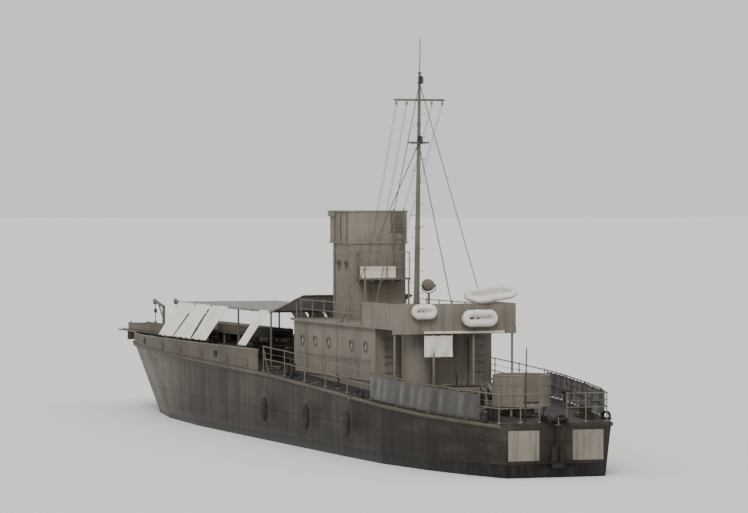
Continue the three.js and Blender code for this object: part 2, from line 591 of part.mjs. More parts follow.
// The compass stand with its hood. Columns: radius, height.
const COMPASS_PROFILE = [
  [0, 0],
  [0.17, 0],
  [0.1, 0.06],
  [0.085, 0.72],
  [0.15, 0.84],
  [0.14, 1.02],
  [0, COMPASS.height],
];
{
  const { aft, fore, half, wall, top } = TOWER;
  const walls = block(aft, fore, -half, half, roof_top, top).subtract(
    block(aft + wall, fore - wall, wall - half, half - wall, roof_top - 1, top + 1),
  );
  const low = roof_top + TOWER_DOOR.low;
  const [y0, y1] = [-TOWER_DOOR.width / 2, TOWER_DOOR.width / 2];
  const doorway = block(aft - 0.1, aft + 0.2, y0, y1, low, low + TOWER_DOOR.height);
  const { z, side_r, fore_r } = TOWER_PORTS;
  const side_ports = TOWER_PORTS.side.map((d) => bar(point(d, -2, z), point(d, 2, z), side_r, 12));
  const fore_ports = TOWER_PORTS.fore.map((y) =>
    bar(point(fore - 0.2, y, z), point(fore + 0.2, y, z), fore_r, 12),
  );
  add("tower_walls", walls.subtract(join([doorway, ...side_ports, ...fore_ports])), "house");

  const base = top + GAP / M;
  const head = base + TOWER.conn;
  const edge = half + BRIDGE.over;
  const floor = block(aft - 0.05, fore + BRIDGE.ahead, -edge, edge, base, base + BRIDGE.floor);
  const out = edge - 0.03;
  const inner = out - BRIDGE.wall;
  const shell = block(aft - 0.03, fore + 0.22, -out, out, base + 0.01, head);
  const [space_aft, space_fore] = [aft - 0.03 + BRIDGE.wall, fore + 0.22 - BRIDGE.wall];
  const space = block(space_aft, space_fore, -inner, inner, base + 0.04, head + 1);
  const way_in = block(aft - 0.1, aft + 0.1, ...BRIDGE.way, base + BRIDGE.way_low, head + 1);
  const [cap_aft, cap_fore, cap_low] = [fore - CAP.aft, fore + CAP.fore, head - CAP.deep];
  const caps = [
    block(cap_aft, cap_fore, edge - 0.02, edge - 0.02 + CAP.thick, cap_low, head),
    block(cap_aft, cap_fore, 0.02 - edge - CAP.thick, 0.02 - edge, cap_low, head),
    block(cap_fore - 0.08, cap_fore, 0.02 - edge - CAP.thick, edge - 0.02 + CAP.thick, cap_low, head),
  ];
  const compass = turned(COMPASS_PROFILE, point(COMPASS.at, 0, base + BRIDGE.floor - 0.005), 14);
  const bulwark = shell.subtract(space).subtract(way_in);
  add("conning_bridge", join([floor, bulwark, ...caps, compass]), "house");

  // The tower's door, hung on its starboard edge.
  const reach = TOWER_DOOR.width / 2 + TOWER_DOOR.lap;
  const face = aft - DOOR.off;
  const leaf_high = low + TOWER_DOOR.height + TOWER_DOOR.lap;
  const leaf = block(face - DOOR.thick, face, -reach, reach, low - TOWER_DOOR.lap, leaf_high);
  const at_hinge = (height) => point(aft - HINGE.back, -reach, low + height);
  const { heights, long, radius } = TOWER_HINGE;
  const barrels = heights.map((height) => bar(at_hinge(height), at_hinge(height + long), radius, 10));
  const at_handle = (d) => point(d, TOWER_DOOR.grip, low + TOWER_DOOR.grip_z);
  const handle = bar(at_handle(aft - 0.11), at_handle(aft - 0.03), HANDLE.radius, 8);
  add("tower_door", join([leaf, ...barrels, handle]), "house");
}

// The signal platform behind the tower, on two legs, with its ladder to the bridge and a white flag locker.
const SIGNAL = { aft: 17.15, z: 6.42, half: 0.95, thick: 0.05, leg_inset: 0.06, leg_r: 0.04 };
const LADDER = { off: 0.12, sides: [-0.95, -0.55], top: 9.1, rail_r: 0.025 };
const LADDER_RUNG = { radius: 0.018, first: 6.75, step: 0.3 };
const LOCKER = { aft: 17.25, fore: 17.75, sides: [-0.35, 0.9], height: 0.42 };
{
  const { aft, z, half, thick } = SIGNAL;
  const floor = block(aft, TOWER.aft - 0.005, -half, half, z - thick, z);
  const at_leg = (side, height) => point(aft + SIGNAL.leg_inset, side * (half - SIGNAL.leg_inset), height);
  const legs = [-1, 1].map((side) => bar(at_leg(side, roof_top), at_leg(side, z - 0.01), SIGNAL.leg_r, 8));
  const at_ladder = (y, height) => point(TOWER.aft - LADDER.off, y, height);
  const ladder = LADDER.sides.map((y) =>
    bar(at_ladder(y, z - 0.02), at_ladder(y, LADDER.top), LADDER.rail_r, 6),
  );
  const [left, right] = LADDER.sides;
  for (let height = LADDER_RUNG.first; height < LADDER.top - 0.1; height += LADDER_RUNG.step)
    ladder.push(bar(at_ladder(left, height), at_ladder(right, height), LADDER_RUNG.radius, 6));
  add("signal_platform", join([floor, ...legs, ...ladder]), "steel");
  const locker = block(LOCKER.aft, LOCKER.fore, ...LOCKER.sides, z + GAP / M, z + LOCKER.height);
  add("flag_locker", locker, "canvas");
}

// Mast, raked aft, with its yard, spreader, lamps and stays, standing on the deckhouse roof.
const MAST_BASE = { half: 0.22, thick: 0.08 };
const WHIP = { below: 0.1, above: 1.3, radius: 0.02 };
const LAMP = { aft: 0.14, half: 0.1, radius: 0.07, arm_r: 0.03 };
const LAMP_HEIGHTS = [MAST.spreader + 0.11, MAST.top - 0.25];
const LAMP_SHELF = { along: 0.2, across: 0.24, thick: 0.05 };
const STAY = { radius: 0.018, side: 2.3, eye: [0.08, 0.05, 0.06] };
// Stays in pairs. Columns: height on the mast, distance of their eyes on the roof from the transom.
const STAYS = [
  [MAST.top - 0.35, 12.4],
  [MAST.spreader - 0.02, 15.9],
];
{
  const lean = (z) => MAST.foot - (MAST.rake * (z - roof_top)) / (MAST.top - roof_top);
  const at = (z, y = 0, ahead = 0) => point(lean(z) + ahead, y, z);
  const pole = bar(at(roof_top + 0.03), at(MAST.top), MAST.foot_r, 12, MAST.top_r);
  const { half, thick } = MAST_BASE;
  const base = block(MAST.foot - half, MAST.foot + half, -half, half, roof_top, roof_top + thick);
  const whip = bar(at(MAST.top - WHIP.below), at(MAST.top + WHIP.above), WHIP.radius, 6);
  const across_mast = (z, reach, radius) => bar(at(z, -reach), at(z, reach), radius, 8);
  const yard = across_mast(MAST.yard, MAST.yard_half, MAST.yard_r);
  const spreader = across_mast(MAST.spreader, MAST.spreader_half, MAST.spreader_r);
  const { along, across } = LAMP_SHELF;
  const shelf_d = lean(MAST.spreader);
  const shelf_z = MAST.spreader - LAMP_SHELF.thick;
  const shelf = block(shelf_d - along, shelf_d + along, -across, across, shelf_z, MAST.spreader);
  const lamp = (z) => bar(at(z - LAMP.half, 0, -LAMP.aft), at(z + LAMP.half, 0, -LAMP.aft), LAMP.radius, 10);
  const arm = (z) => bar(at(z), at(z, 0, -LAMP.aft), LAMP.arm_r, 6);
  const lamps = LAMP_HEIGHTS.flatMap((z) => [lamp(z), arm(z)]);
  const [eye_d, eye_y, eye_z] = STAY.eye;
  const stays = STAYS.flatMap(([z, d]) =>
    [-STAY.side, STAY.side].flatMap((y) => [
      bar(at(z), point(d, y, roof_top + 0.02), STAY.radius, 6),
      block(d - eye_d, d + eye_d, y - eye_y, y + eye_y, roof_top, roof_top + eye_z),
    ]),
  );
  add("mast", join([pole, base, whip, yard, spreader, shelf, ...lamps, ...stays]), "house");
}

// Empty round splinter tubs on their pedestals, with a way in on the after side.
const TUB_LEG = { count: 4, inset: 0.12, radius: 0.05 };
const TUB_WAY = { half: 0.3, deep: 0.2 };
function tub(name, d, floor, legs_from) {
  const { radius, wall, height, floor: thick, rim, pedestal: pedestal_r } = TUB;
  const profile = [
    [0, floor - thick],
    [radius + rim, floor - thick],
    [radius + rim, floor],
    [radius, floor],
    [radius, floor + height],
    [radius - wall, floor + height],
    [radius - wall, floor + 0.02],
    [0, floor + 0.02],
  ];
  const bowl = turned(profile, point(d, 0, 0), 24);
  const pedestal = bar(point(d, 0, legs_from), point(d, 0, floor - 0.02), pedestal_r, 20);
  const legs = [];
  for (let i = 0; i < TUB_LEG.count; i++) {
    const turn = ((i + 0.5) * 2 * Math.PI) / TUB_LEG.count;
    const reach = radius - TUB_LEG.inset;
    const [leg_d, leg_y] = [d + Math.cos(turn) * reach, Math.sin(turn) * reach];
    legs.push(bar(point(leg_d, leg_y, legs_from), point(leg_d, leg_y, floor - 0.02), TUB_LEG.radius, 8));
  }
  const { half, deep } = TUB_WAY;
  const way_in = block(d - radius - 0.1, d - radius + deep, -half, half, floor + 0.02, floor + height + 0.1);
  add(name, onDeck(join([bowl, pedestal, ...legs]).subtract(way_in)), "house");
}
tub("stern_tub", STERN_TUB.at, STERN_TUB.floor, 1.7);
tub("bow_tub", BOW_TUB.at, BOW_TUB.floor, 2.7);

// Life floats: oval rings with a slatted floor, hung on the splinter shield and laid on top of it.
const FLOAT_BEVEL = 0.45; // the ring's rounding, as a share of its tube
const SLAT = { shares: [-0.24, 0, 0.24], reach: 0.4, half: 0.05, thick: 0.03 };
const FLOAT_TIE = { shares: [-0.25, 0.25], reach: 0.4, half: 0.04, low: -0.05, high: -0.02 };
function stadium(long, wide, Kind) {
  const [r, half] = [(wide / 2) * M, ((long - wide) / 2) * M];
  const quarter = Math.PI / 2;
  const fore_end = new Kind().absarc(half, 0, r, -quarter, quarter, false);
  return fore_end.absarc(-half, 0, r, quarter, 3 * quarter, false);
}
function lifeFloat(name, { long, wide, tube, at, turn }) {
  const bevel = tube * FLOAT_BEVEL;
  const outline = stadium(long - 2 * bevel, wide - 2 * bevel, THREE.Shape);
  outline.holes.push(stadium(long - 4 * tube + 2 * bevel, wide - 4 * tube + 2 * bevel, THREE.Path));
  const ring = new THREE.ExtrudeGeometry(outline, {
    depth: 2 * (tube - bevel) * M,
    bevelThickness: bevel * M,
    bevelSize: bevel * M,
    bevelSegments: 2,
    curveSegments: 5,
  });
  ring.translate(0, 0, -(tube - bevel) * M);
  const piece = (...sides) => box(...sides.map((side) => side * M));
  const slats = SLAT.shares.map((share) => {
    const [x, y] = [long * SLAT.reach, share * wide];
    return piece(-x, x, y - SLAT.half, y + SLAT.half, -SLAT.thick, SLAT.thick);
  });
  const ties = FLOAT_TIE.shares.map((share) => {
    const [x, y] = [share * long, wide * FLOAT_TIE.reach];
    return piece(x - FLOAT_TIE.half, x + FLOAT_TIE.half, -y, y, FLOAT_TIE.low, FLOAT_TIE.high);
  });
  const whole = join([solidOf(ring), ...slats, ...ties]);
  add(name, whole.rotate(turn).translate(at.toArray()), "float");
}
const UPRIGHT = [90, 0, 90]; // degrees about X, Y and Z: the oval stands across the craft and faces aft
const LEVEL = [0, 0, 0];
const FLOATS = [
  ["life_float_port", { long: 1.0, wide: 0.58, tube: 0.13, at: point(9.62, 1.25, 5.37), turn: UPRIGHT }],
  ["life_float_centre", { long: 1.4, wide: 0.66, tube: 0.15, at: point(9.58, -0.9, 5.11), turn: UPRIGHT }],
  ["life_float_upper", { long: 2.1, wide: 1.25, tube: 0.17, at: point(10.25, -1.6, 5.98), turn: [0, 8, 98] }],
  ["life_float_starboard", { long: 1.75, wide: 1.1, tube: 0.17, at: point(19.3, -1.75, 5.2), turn: LEVEL }],
];
for (const [name, spec] of FLOATS) lifeFloat(name, spec);

// Vent trunk under the roof's overhang, and mushroom ventilators on deck.
const TRUNK = { at: 10.9, side: 1.12, radius: 0.52 };
const trunk_at = (z) => point(TRUNK.at, TRUNK.side, z);
add("vent_trunk", onDeck(bar(trunk_at(2), trunk_at(HOUSE.roof - GAP / M), TRUNK.radius, 28)), "house");

const VENT = { radius: 0.2, neck: 0.12, height: 0.75, cowl: 0.62 };
const VENTS = [
  [25.4, 1.2],
  [23.2, -1.5],
  [7.6, -1.9],
];
// The cowl of a ventilator. Columns: radius, height.
const COWL_PROFILE = [
  [0, 0],
  [VENT.radius, 0],
  [VENT.radius * 1.1, 0.06],
  [VENT.radius * 0.85, 0.17],
  [0, 0.24],
];
for (const [d, y] of VENTS) {
  const neck = bar(point(d, y, 1.9), point(d, y, deckZ(d) + VENT.height), VENT.neck, 12);
  welded.push(neck.add(turned(COWL_PROFILE, point(d, y, deckZ(d) + VENT.cowl), 14)));
}

// Bent tank vents along the deck's edges.
const TANK_VENT = { height: 0.42, out: 0.18, drop: 0.36, rise: 0.5, radius: 0.04 };
const TANK_VENTS = [
  [3.6, 2.35],
  [6.4, -2.95],
  [13.6, 3.2],
  [17.2, -3.2],
  [28.4, 2.9],
  [35.0, -2.9],
  [38.9, 2.6],
];
for (const [d, y] of TANK_VENTS) {
  const at = (ahead, height) => point(d + ahead, y, deckZ(d) + height);
  const bend = [at(0, -0.05), at(0, TANK_VENT.height), at(TANK_VENT.out / 2, TANK_VENT.rise)];
  const mouth = [at(TANK_VENT.out, TANK_VENT.height), at(TANK_VENT.out, TANK_VENT.drop)];
  welded.push(pipe([...bend, ...mouth], TANK_VENT.radius, 8));
}

// Stern winch with its drum and engine cover, the roller at the stern and the anchor that hangs from it.
const CHEEK = { side: 0.55, half: 0.05, foot: 0.4, head: 0.14, above: 0.16 };
const BED = { along: 0.5, across: 0.6, thick: 0.1 };
const ENGINE = { along: 0.42, sides: [0.85, 1.75], height: 0.85 };
const SOLE = { sides: [0.5, 1.8], thick: 0.06 };
const FLANGE = { half: 0.02, over: 0.12 };
const AXLE = { half: 0.72, radius: 0.055, bore: 0.07 };
const ROLLER = { at: -0.14, z: 1.98, half: 0.33, radius: 0.07 };
const JAW = { side: 0.32, half: 0.04 };
// A fairlead jaw's outline. Columns: distance from the transom, height.
const JAW_OUTLINE = [
  [0.7, 1.7],
  [0.7, 2.05],
  [0.1, 2.12],
  [-0.26, 2.0],
  [-0.26, 1.86],
  [0.02, 1.855],
];
const ANCHOR = { aft: -0.14, fore: -0.06, half: 0.045, low: 0.42, high: 1.86 };
const STOCK = { at: -0.1, z: 0.5, half: 0.75, radius: 0.035 };
const CROWN = { aft: -0.24, fore: -0.02, half: 0.22, low: 0.32, high: 0.5 };
const FLUKE = { side: 0.16, half: 0.09 };
const FLUKE_OUTLINE = [
  [-0.05, 0.36],
  [-0.17, 0.36],
  [-0.26, 1.08],
  [-0.2, 1.1],
];
{
  const [d, z, low] = [WINCH.at, WINCH.height, 1.8];
  const cheek = [
    [d - CHEEK.foot, low],
    [d + CHEEK.foot, low],
    [d + CHEEK.head, z + CHEEK.above],
    [d - CHEEK.head, z + CHEEK.above],
  ];
  const pair = (outline, side, half) => [-side, side].map((y) => prismAcross(outline, y - half, y + half));
  const bed = block(d - BED.along, d + BED.along, -BED.across, BED.across, low, deckZ(d) + BED.thick);
  const axis = (y) => point(d, y, z);
  const bore = bar(axis(-0.8), axis(0.8), AXLE.bore, 20);
  const engine = block(d - ENGINE.along, d + ENGINE.along, ...ENGINE.sides, low, deckZ(d) + ENGINE.height);
  const sole = block(d - BED.along, d + BED.along, ...SOLE.sides, low, deckZ(d) + SOLE.thick);
  const cheeks = pair(cheek, CHEEK.side, CHEEK.half);
  add("winch_frame", onDeck(join([bed, ...cheeks, engine, sole]).subtract(bore)), "dark");

  const drum = bar(axis(-WINCH.drum_half), axis(WINCH.drum_half), WINCH.drum_r, 20);
  const flanges = [-WINCH.drum_half, WINCH.drum_half].map((y) =>
    bar(axis(y - FLANGE.half), axis(y + FLANGE.half), WINCH.drum_r + FLANGE.over, 24),
  );
  const axle = bar(axis(-AXLE.half), axis(AXLE.half), AXLE.radius, 16);
  add("winch_drum", join([drum, ...flanges, axle]), "steel");

  const jaws = pair(JAW_OUTLINE, JAW.side, JAW.half);
  const at_roller = (y) => point(ROLLER.at, y, ROLLER.z);
  const roller = bar(at_roller(-ROLLER.half), at_roller(ROLLER.half), ROLLER.radius, 14);
  const sill = block(0.1, 0.6, -ROLLER.half, ROLLER.half, 1.7, 1.95);
  add("stern_fairlead", onDeck(join([...jaws, roller, sill])), "steel");

  const shank = block(ANCHOR.aft, ANCHOR.fore, -ANCHOR.half, ANCHOR.half, ANCHOR.low, ANCHOR.high);
  const at_stock = (y) => point(STOCK.at, y, STOCK.z);
  const stock = bar(at_stock(-STOCK.half), at_stock(STOCK.half), STOCK.radius, 8);
  const crown = block(CROWN.aft, CROWN.fore, -CROWN.half, CROWN.half, CROWN.low, CROWN.high);
  const flukes = pair(FLUKE_OUTLINE, FLUKE.side, FLUKE.half);
  add("stern_anchor", join([shank, stock, crown, ...flukes]), "dark");
}

// Guard rails round the after deck: slender bars along the deck's edge, with weather cloths outside them.
const RAIL_STATIONS = [0.25, 2, 4.5, 7, 9.4, 12, 14.5, 17, 19.5, 22.2];
const CLOTH = { aft: 1.2, fore: 9.3, foot: 0.1, top: 0.98, thick: 0.02, off: 0.012 };
for (const [name, side] of SIDES) {
  const railY = (d) => deckHalf(d) - RAIL.inset;
  const place = (d) => (ring) => ring.map(([y, z]) => [X(d), side * y * M, z * M]);
  const rail = (height) => {
    const section = (d) => {
      const [y, z, r] = [railY(d), deckZ(d) + height, RAIL.post_r * 0.8];
      return place(d)([
        [y - r, z],
        [y, z - r],
        [y + r, z],
        [y, z + r],
      ]);
    };
    return loft(RAIL_STATIONS.map(section));
  };
  const post = (d, y) => {
    const r = RAIL.post_r * 0.9;
    return block(d - r, d + r, y - r, y + r, deckZ(d) - 0.1, deckZ(d) + RAIL.height);
  };
  const posts = RAIL_STATIONS.map((d) => post(d, side * railY(d)));
  const end = RAIL_STATIONS[0];
  const [lo, hi] = [side * RAIL.stern_way, side * railY(end)].sort((a, b) => a - b);
  const half = STERN_BAR_HALF;
  const across = RAIL.levels.map((level) => {
    const z = deckZ(end) + level;
    return block(end - half, end + half, lo, hi, z - half, z + half);
  });
  const last = post(end, side * RAIL.stern_way);
  add(`guard_rail_${name}`, onDeck(join([...RAIL.levels.map(rail), ...posts, ...across, last])), "house");

  const between = RAIL_STATIONS.filter((d) => d > CLOTH.aft && d < CLOTH.fore);
  const cloth_section = (d) => {
    const y = railY(d) + RAIL.post_r + CLOTH.off;
    const [foot, top] = [deckZ(d) + CLOTH.foot, deckZ(d) + CLOTH.top];
    return place(d)([
      [y, foot],
      [y + CLOTH.thick, foot],
      [y + CLOTH.thick, top],
      [y, top],
    ]);
  };
  add(`weather_cloth_${name}`, loft([CLOTH.aft, ...between, CLOTH.fore].map(cloth_section)), "canvas");
}

// Hatches: coamings with lids hinged on their forward edges.
const HATCHES = [
  ["aft", 8.2, 0.45],
  ["mid", 26.6, 0],
  ["fore", 32.2, 0],
];
const COAMING = { half: 0.55, wall: 0.05, height: 0.5 };
const LID = { over: 0.04, thick: 0.06 };
const KNUCKLE = { places: [-0.3, 0.3], half: 0.08, radius: 0.035 };
const GRIP = { places: [-0.25, 0.25], half: 0.09, radius: 0.025, inset: 0.1, above: 0.02 };
for (const [name, d, y] of HATCHES) {
  const out = COAMING.half;
  const inner = out - COAMING.wall;
  const top = deckZ(d) + COAMING.height;
  const hollow = block(d - inner, d + inner, y - inner, y + inner, 1.7, top + 1);
  const coaming = block(d - out, d + out, y - out, y + out, 1.8, top).subtract(hollow);
  welded.push(onDeck(coaming).translate([0, 0, -2 * DECK_RISE]));
  const z = top + MOVING_GAP / M;
  const edge = out + LID.over;
  const lid = block(d - edge, d + edge, y - edge, y + edge, z, z + LID.thick);
  const across = ({ places, half, radius }, at_d, at_z, sides) =>
    places.map((place) => {
      const [from, to] = [point(at_d, y + place - half, at_z), point(at_d, y + place + half, at_z)];
      return bar(from, to, radius, sides);
    });
  const knuckles = across(KNUCKLE, d + edge, z + LID.thick / 2, 10);
  const grips = across(GRIP, d - out + GRIP.inset, z + LID.thick + GRIP.above, 8);
  add(`hatch_lid_${name}`, join([lid, ...knuckles, ...grips]), "house");
}

// Bitts in pairs on their base plates.
const BITT = { apart: 0.28, radius: 0.1, cap_r: 0.13, height: 0.45, cap: 0.05 };
const BITT_BASE = { long: 0.5, half: 0.14, thick: 0.05 };
const BITTS = [
  [1.5, 1.72],
  [20.0, 3.0],
  [41.2, 2.6],
];
for (const [d, out] of BITTS)
  for (const [, side] of SIDES) {
    const [y, z] = [side * out, deckZ(d)];
    const { long, half, thick } = BITT_BASE;
    const base = block(d - long, d + long, y - half, y + half, z - 0.1, z + thick);
    const posts = [-BITT.apart, BITT.apart].flatMap((ahead) => {
      const at = (height) => point(d + ahead, y, z + height);
      const cap = bar(at(BITT.height - BITT.cap), at(BITT.height), BITT.cap_r, 12);
      return [bar(at(0), at(BITT.height - 0.03), BITT.radius, 12), cap];
    });
    welded.push(join([base, ...posts]));
  }

// Foredeck awning with its side curtains, on a frame of bars and stanchions.
const FRAME = { side: 2.28, drop: 0.045, radius: 0.04, stand: 21.4, stand_r: 0.035 };
const BAYS = [24.75, 29.2, 33.6, 37.85];
const PANELS = [
  [24.7, 25.9],
  [30.3, 32.6],
  [32.8, 35.1],
  [35.3, 37.6],
];
// A prism along the craft, of an outline of side and height in real metres.
function prismAlong(outline, d0, d1) {
  const section = (d) => outline.map(([y, z]) => [X(d), y * M, z * M]);
  return loft([section(d0), section(d1)]);
}
{
  const { aft, knee, fore, high, low, half, thick, foot, foot_side } = AWNING;
  const outline = [
    [aft, high],
    [knee, low],
    [fore, low],
    [fore, low + thick],
    [knee, low + thick],
    [aft, high + thick],
  ];
  const curtain = (side) => [
    [side * (half - 0.02), low],
    [side * (half - 0.02), low + thick],
    [side * (half + 0.01), low + thick],
    [side * (foot_side + 0.02), foot],
    [side * foot_side, foot],
  ];
  const curtains = SIDES.flatMap(([, side]) => PANELS.map(([d0, d1]) => prismAlong(curtain(side), d0, d1)));
  add("awning", join([prismAcross(outline, -half, half), ...curtains]), "canvas");

  const { side, radius, stand, stand_r } = FRAME;
  const bar_z = low - FRAME.drop;
  const slope = (d) => high - ((high - low) * (d - aft)) / (knee - aft) - 0.06;
  const run = (from, to) => bar(point(...from), point(...to), radius, 6);
  const bars = [-side, 0, side].map((y) => run([knee + 0.1, y, bar_z], [fore - 0.1, y, bar_z]));
  const beams = BAYS.map((d) => run([d, -side, bar_z], [d, side, bar_z]));
  const posts = BAYS.flatMap((d) => [-side, side].map((y) => run([d, y, 2.4], [d, y, bar_z])));
  const [rake_d, head_d] = [aft + 0.1, aft + 0.12];
  const rakes = [-side, side].map((y) => {
    const bend = [point(knee + 0.15, y, bar_z), point(knee, y, bar_z)];
    return pipe([...bend, point(rake_d, y, slope(rake_d))], radius, 6);
  });
  const head = run([head_d, -side, slope(head_d)], [head_d, side, slope(head_d)]);
  const at_stand = (y, z) => point(stand, y, z);
  const stands = [-side, side].map((y) =>
    bar(at_stand(y, roof_top), at_stand(y, slope(stand)), stand_r, 6),
  );
  add("awning_frame", onDeck(join([...bars, ...beams, ...posts, ...rakes, head, ...stands])), "steel");
}

// Fenders, each hung by its lanyard from the deck's edge.
const FENDER = { radius: 0.15, foot: 0.75, long: 1, off: 0.26, line: 0.025, eye: 0.3 };
const FENDERS = [
  ["fender_port_aft", 11.0, 1],
  ["fender_port_mid", 15.7, 1],
  ["fender_port_fore", 20.9, 1],
  ["fender_starboard_aft", 13.2, -1],
  ["fender_starboard_fore", 20.9, -1],
];
// A fender's body. Columns: radius, height.
const FENDER_PROFILE = [
  [0, 0],
  [FENDER.radius * 0.6, 0.02],
  [FENDER.radius, 0.2],
  [FENDER.radius, 0.8],
  [FENDER.radius * 0.6, 0.98],
  [0, FENDER.long],
];
for (const [name, d, side] of FENDERS) {
  const [y, eye_y] = [FENDER.off, -FENDER.eye].map((off) => side * (deckHalf(d) + off));
  const z = deckZ(d) + 0.04;
  const body = turned(FENDER_PROFILE, point(d, y, FENDER.foot), 12);
  const over = [point(d, y, FENDER.foot + FENDER.long - 0.1), point(d, y, z)];
  const line = pipe([...over, point(d, eye_y, z), point(d, eye_y, z - 0.1)], FENDER.line, 6);
  add(name, onDeck(body.add(line)), "rope");
}

// Flagstaff at the stern and a searchlight on the deckhouse roof.
const FLAGSTAFF = { foot: [0.6, 0.9, 1.7], head: [0.45, 0.9, 4.4], radius: 0.035, tip: 0.02 };
welded.push(bar(point(...FLAGSTAFF.foot), point(...FLAGSTAFF.head), FLAGSTAFF.radius, 8, FLAGSTAFF.tip));
const SEARCHLIGHT = { at: 16.9, side: -1.6, z: 6.15, half: 0.22, radius: 0.22, rim: 0.24 };
const SEARCHLIGHT_STAND = { radius: 0.05, foot_r: 0.16 };
{
  const { side, z, half, radius, rim } = SEARCHLIGHT;
  const at = (ahead, height) => point(SEARCHLIGHT.at + ahead, side, height);
  const stand = bar(at(0, roof_top), at(0, z - 0.15), SEARCHLIGHT_STAND.radius, 10);
  const foot = bar(at(0, roof_top), at(0, roof_top + 0.04), SEARCHLIGHT_STAND.foot_r, 14);
  const lamp = bar(at(-half, z), at(half, z), radius, 18, rim);
  add("searchlight", join([stand, foot, lamp]), "steel");
}

// The hull comes last, with the fittings that are welded to it.
add("hull", join(welded), "hull");

const craft = new THREE.Group();
for (const [name, solid, material] of parts) {
  const { numProp, vertProperties, triVerts } = solid.getMesh();
  const at = new Float32Array((vertProperties.length / numProp) * 3);
  for (let i = 0; i < at.length / 3; i++)
    at.set(vertProperties.subarray(i * numProp, i * numProp + 3), i * 3);
  const geometry = new THREE.BufferGeometry()
    .setAttribute("position", new THREE.BufferAttribute(at, 3))
    .setIndex(new THREE.BufferAttribute(new Uint32Array(triVerts), 1));
  geometry.computeVertexNormals();
  const mesh = new THREE.Mesh(geometry, material);
  mesh.name = name;
  craft.add(mesh);
}

export default craft;
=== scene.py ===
"""The looks of a large infantry landing craft, 1:2 scale, afloat at its light waterline.

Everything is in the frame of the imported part: metres, +X to the bow, +Y to port, +Z up, the origin amidships
on the centreline at the waterline. The craft was measured at full size, so a place is written as its distance
forward of the transom, its distance across and its height over the water, all in metres of the real craft.
So are radii and other sizes, unless a line says model metres. SCALE turns real metres into model metres.
"""

import logging
import math
from contextlib import contextmanager
from dataclasses import dataclass
from enum import Enum
from typing import Callable, Iterable, Iterator, Sequence

import bpy
from mathutils import Matrix, Vector


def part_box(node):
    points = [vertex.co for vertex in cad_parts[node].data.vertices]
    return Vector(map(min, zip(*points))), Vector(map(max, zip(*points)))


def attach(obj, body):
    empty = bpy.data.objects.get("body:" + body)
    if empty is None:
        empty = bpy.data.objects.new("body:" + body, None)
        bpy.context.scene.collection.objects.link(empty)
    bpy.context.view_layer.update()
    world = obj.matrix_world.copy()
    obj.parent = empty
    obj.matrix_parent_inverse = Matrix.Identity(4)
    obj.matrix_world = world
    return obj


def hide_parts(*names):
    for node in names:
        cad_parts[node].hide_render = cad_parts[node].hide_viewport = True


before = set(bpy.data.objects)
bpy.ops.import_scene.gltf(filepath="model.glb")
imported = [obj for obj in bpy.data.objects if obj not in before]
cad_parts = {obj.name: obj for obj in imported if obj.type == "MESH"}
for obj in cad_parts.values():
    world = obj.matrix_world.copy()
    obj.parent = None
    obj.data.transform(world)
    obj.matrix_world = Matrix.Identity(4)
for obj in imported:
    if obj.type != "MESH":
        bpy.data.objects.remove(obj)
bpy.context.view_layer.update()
LOG = logging.getLogger("landing_craft")

SCALE = 0.5  # model metres for one metre of the real craft
LENGTH = 48.3  # of the real hull
BODY = "craft"  # the body that everything fixed rides on
UP = Vector((0, 0, 1))
ALONG = Vector((1, 0, 0))
ACROSS = Vector((0, 1, 0))

Thing = bpy.types.Object
Socket = bpy.types.NodeSocket
Pair = tuple[float, float]
Triple = tuple[float, float, float]
Row = tuple[float, float, int]  # the first place, the step and how many
Surface = Callable[[float, float], Vector]


class Side(Enum):
    """The two sides of the craft, with the sign of their Y."""

    PORT = 1
    STARBOARD = -1

    @property
    def word(self) -> str:
        """The side's name, as the nodes use it."""
        return self.name.lower()


class Slot(Enum):
    """The record's material slots, which each finish carries; nothing here reads them."""

    HULL = "hull_paint"
    HOUSE = "house_paint"
    DECK = "deck_paint"
    DARK = "dark_paint"
    PIPE = "pipe_paint"
    BRONZE = "bronze"
    STEEL = "steel"
    CANVAS = "white_canvas"
    ROPE = "rope"


# Stations of the hull: distance from the transom, half width at the deck, the bilge's half width and height,
# and the deck's height.
STATIONS: list[tuple[float, float, float, float, float]] = [
    (0.0, 2.05, 1.82, -0.05, 1.85),
    (2.0, 2.62, 2.45, -0.17, 1.92),
    (4.5, 3.1, 3.0, -0.36, 2.0),
    (8.0, 3.5, 3.45, -0.92, 2.16),
    (12.0, 3.55, 3.52, -1.32, 2.33),
    (16.0, 3.55, 3.53, -1.34, 2.48),
    (21.0, 3.55, 3.53, -1.3, 2.65),
    (30.0, 3.55, 3.48, -1.18, 2.8),
    (36.0, 3.45, 3.05, -1.0, 2.88),
    (40.0, 3.2, 2.3, -0.8, 2.93),
    (43.5, 2.75, 1.4, -0.5, 2.97),
    (46.0, 2.1, 0.62, -0.05, 3.0),
    (47.5, 1.3, 0.22, 0.75, 3.02),
    (48.3, 0.5, 0.1, 1.85, 3.04),
]


def hull_at(d: float, column: int) -> float:
    """Reads a column of the stations' table at a distance from the transom, between two stations.

    Args:
        d: The distance.
        column: The column's number, from 0.

    Returns:
        The value there.
    """
    for a, b in zip(STATIONS, STATIONS[1:]):
        if d <= b[0]:
            return a[column] + (b[column] - a[column]) * ((d - a[0]) / (b[0] - a[0]))
    return STATIONS[-1][column]


def deck_half(d: float) -> float:
    """The deck's half width at a distance from the transom."""
    return hull_at(d, 1)


def deck_z(d: float) -> float:
    """The deck's height at a distance from the transom."""
    return hull_at(d, 4)


def real(size: float) -> float:
    """A size of the real craft, in model metres."""
    return size * SCALE


def at(d: float, y: float, z: float) -> Vector:
    """The model's point at a distance from the transom, a place across and a height."""
    return Vector(((d - LENGTH / 2) * SCALE, y * SCALE, z * SCALE))


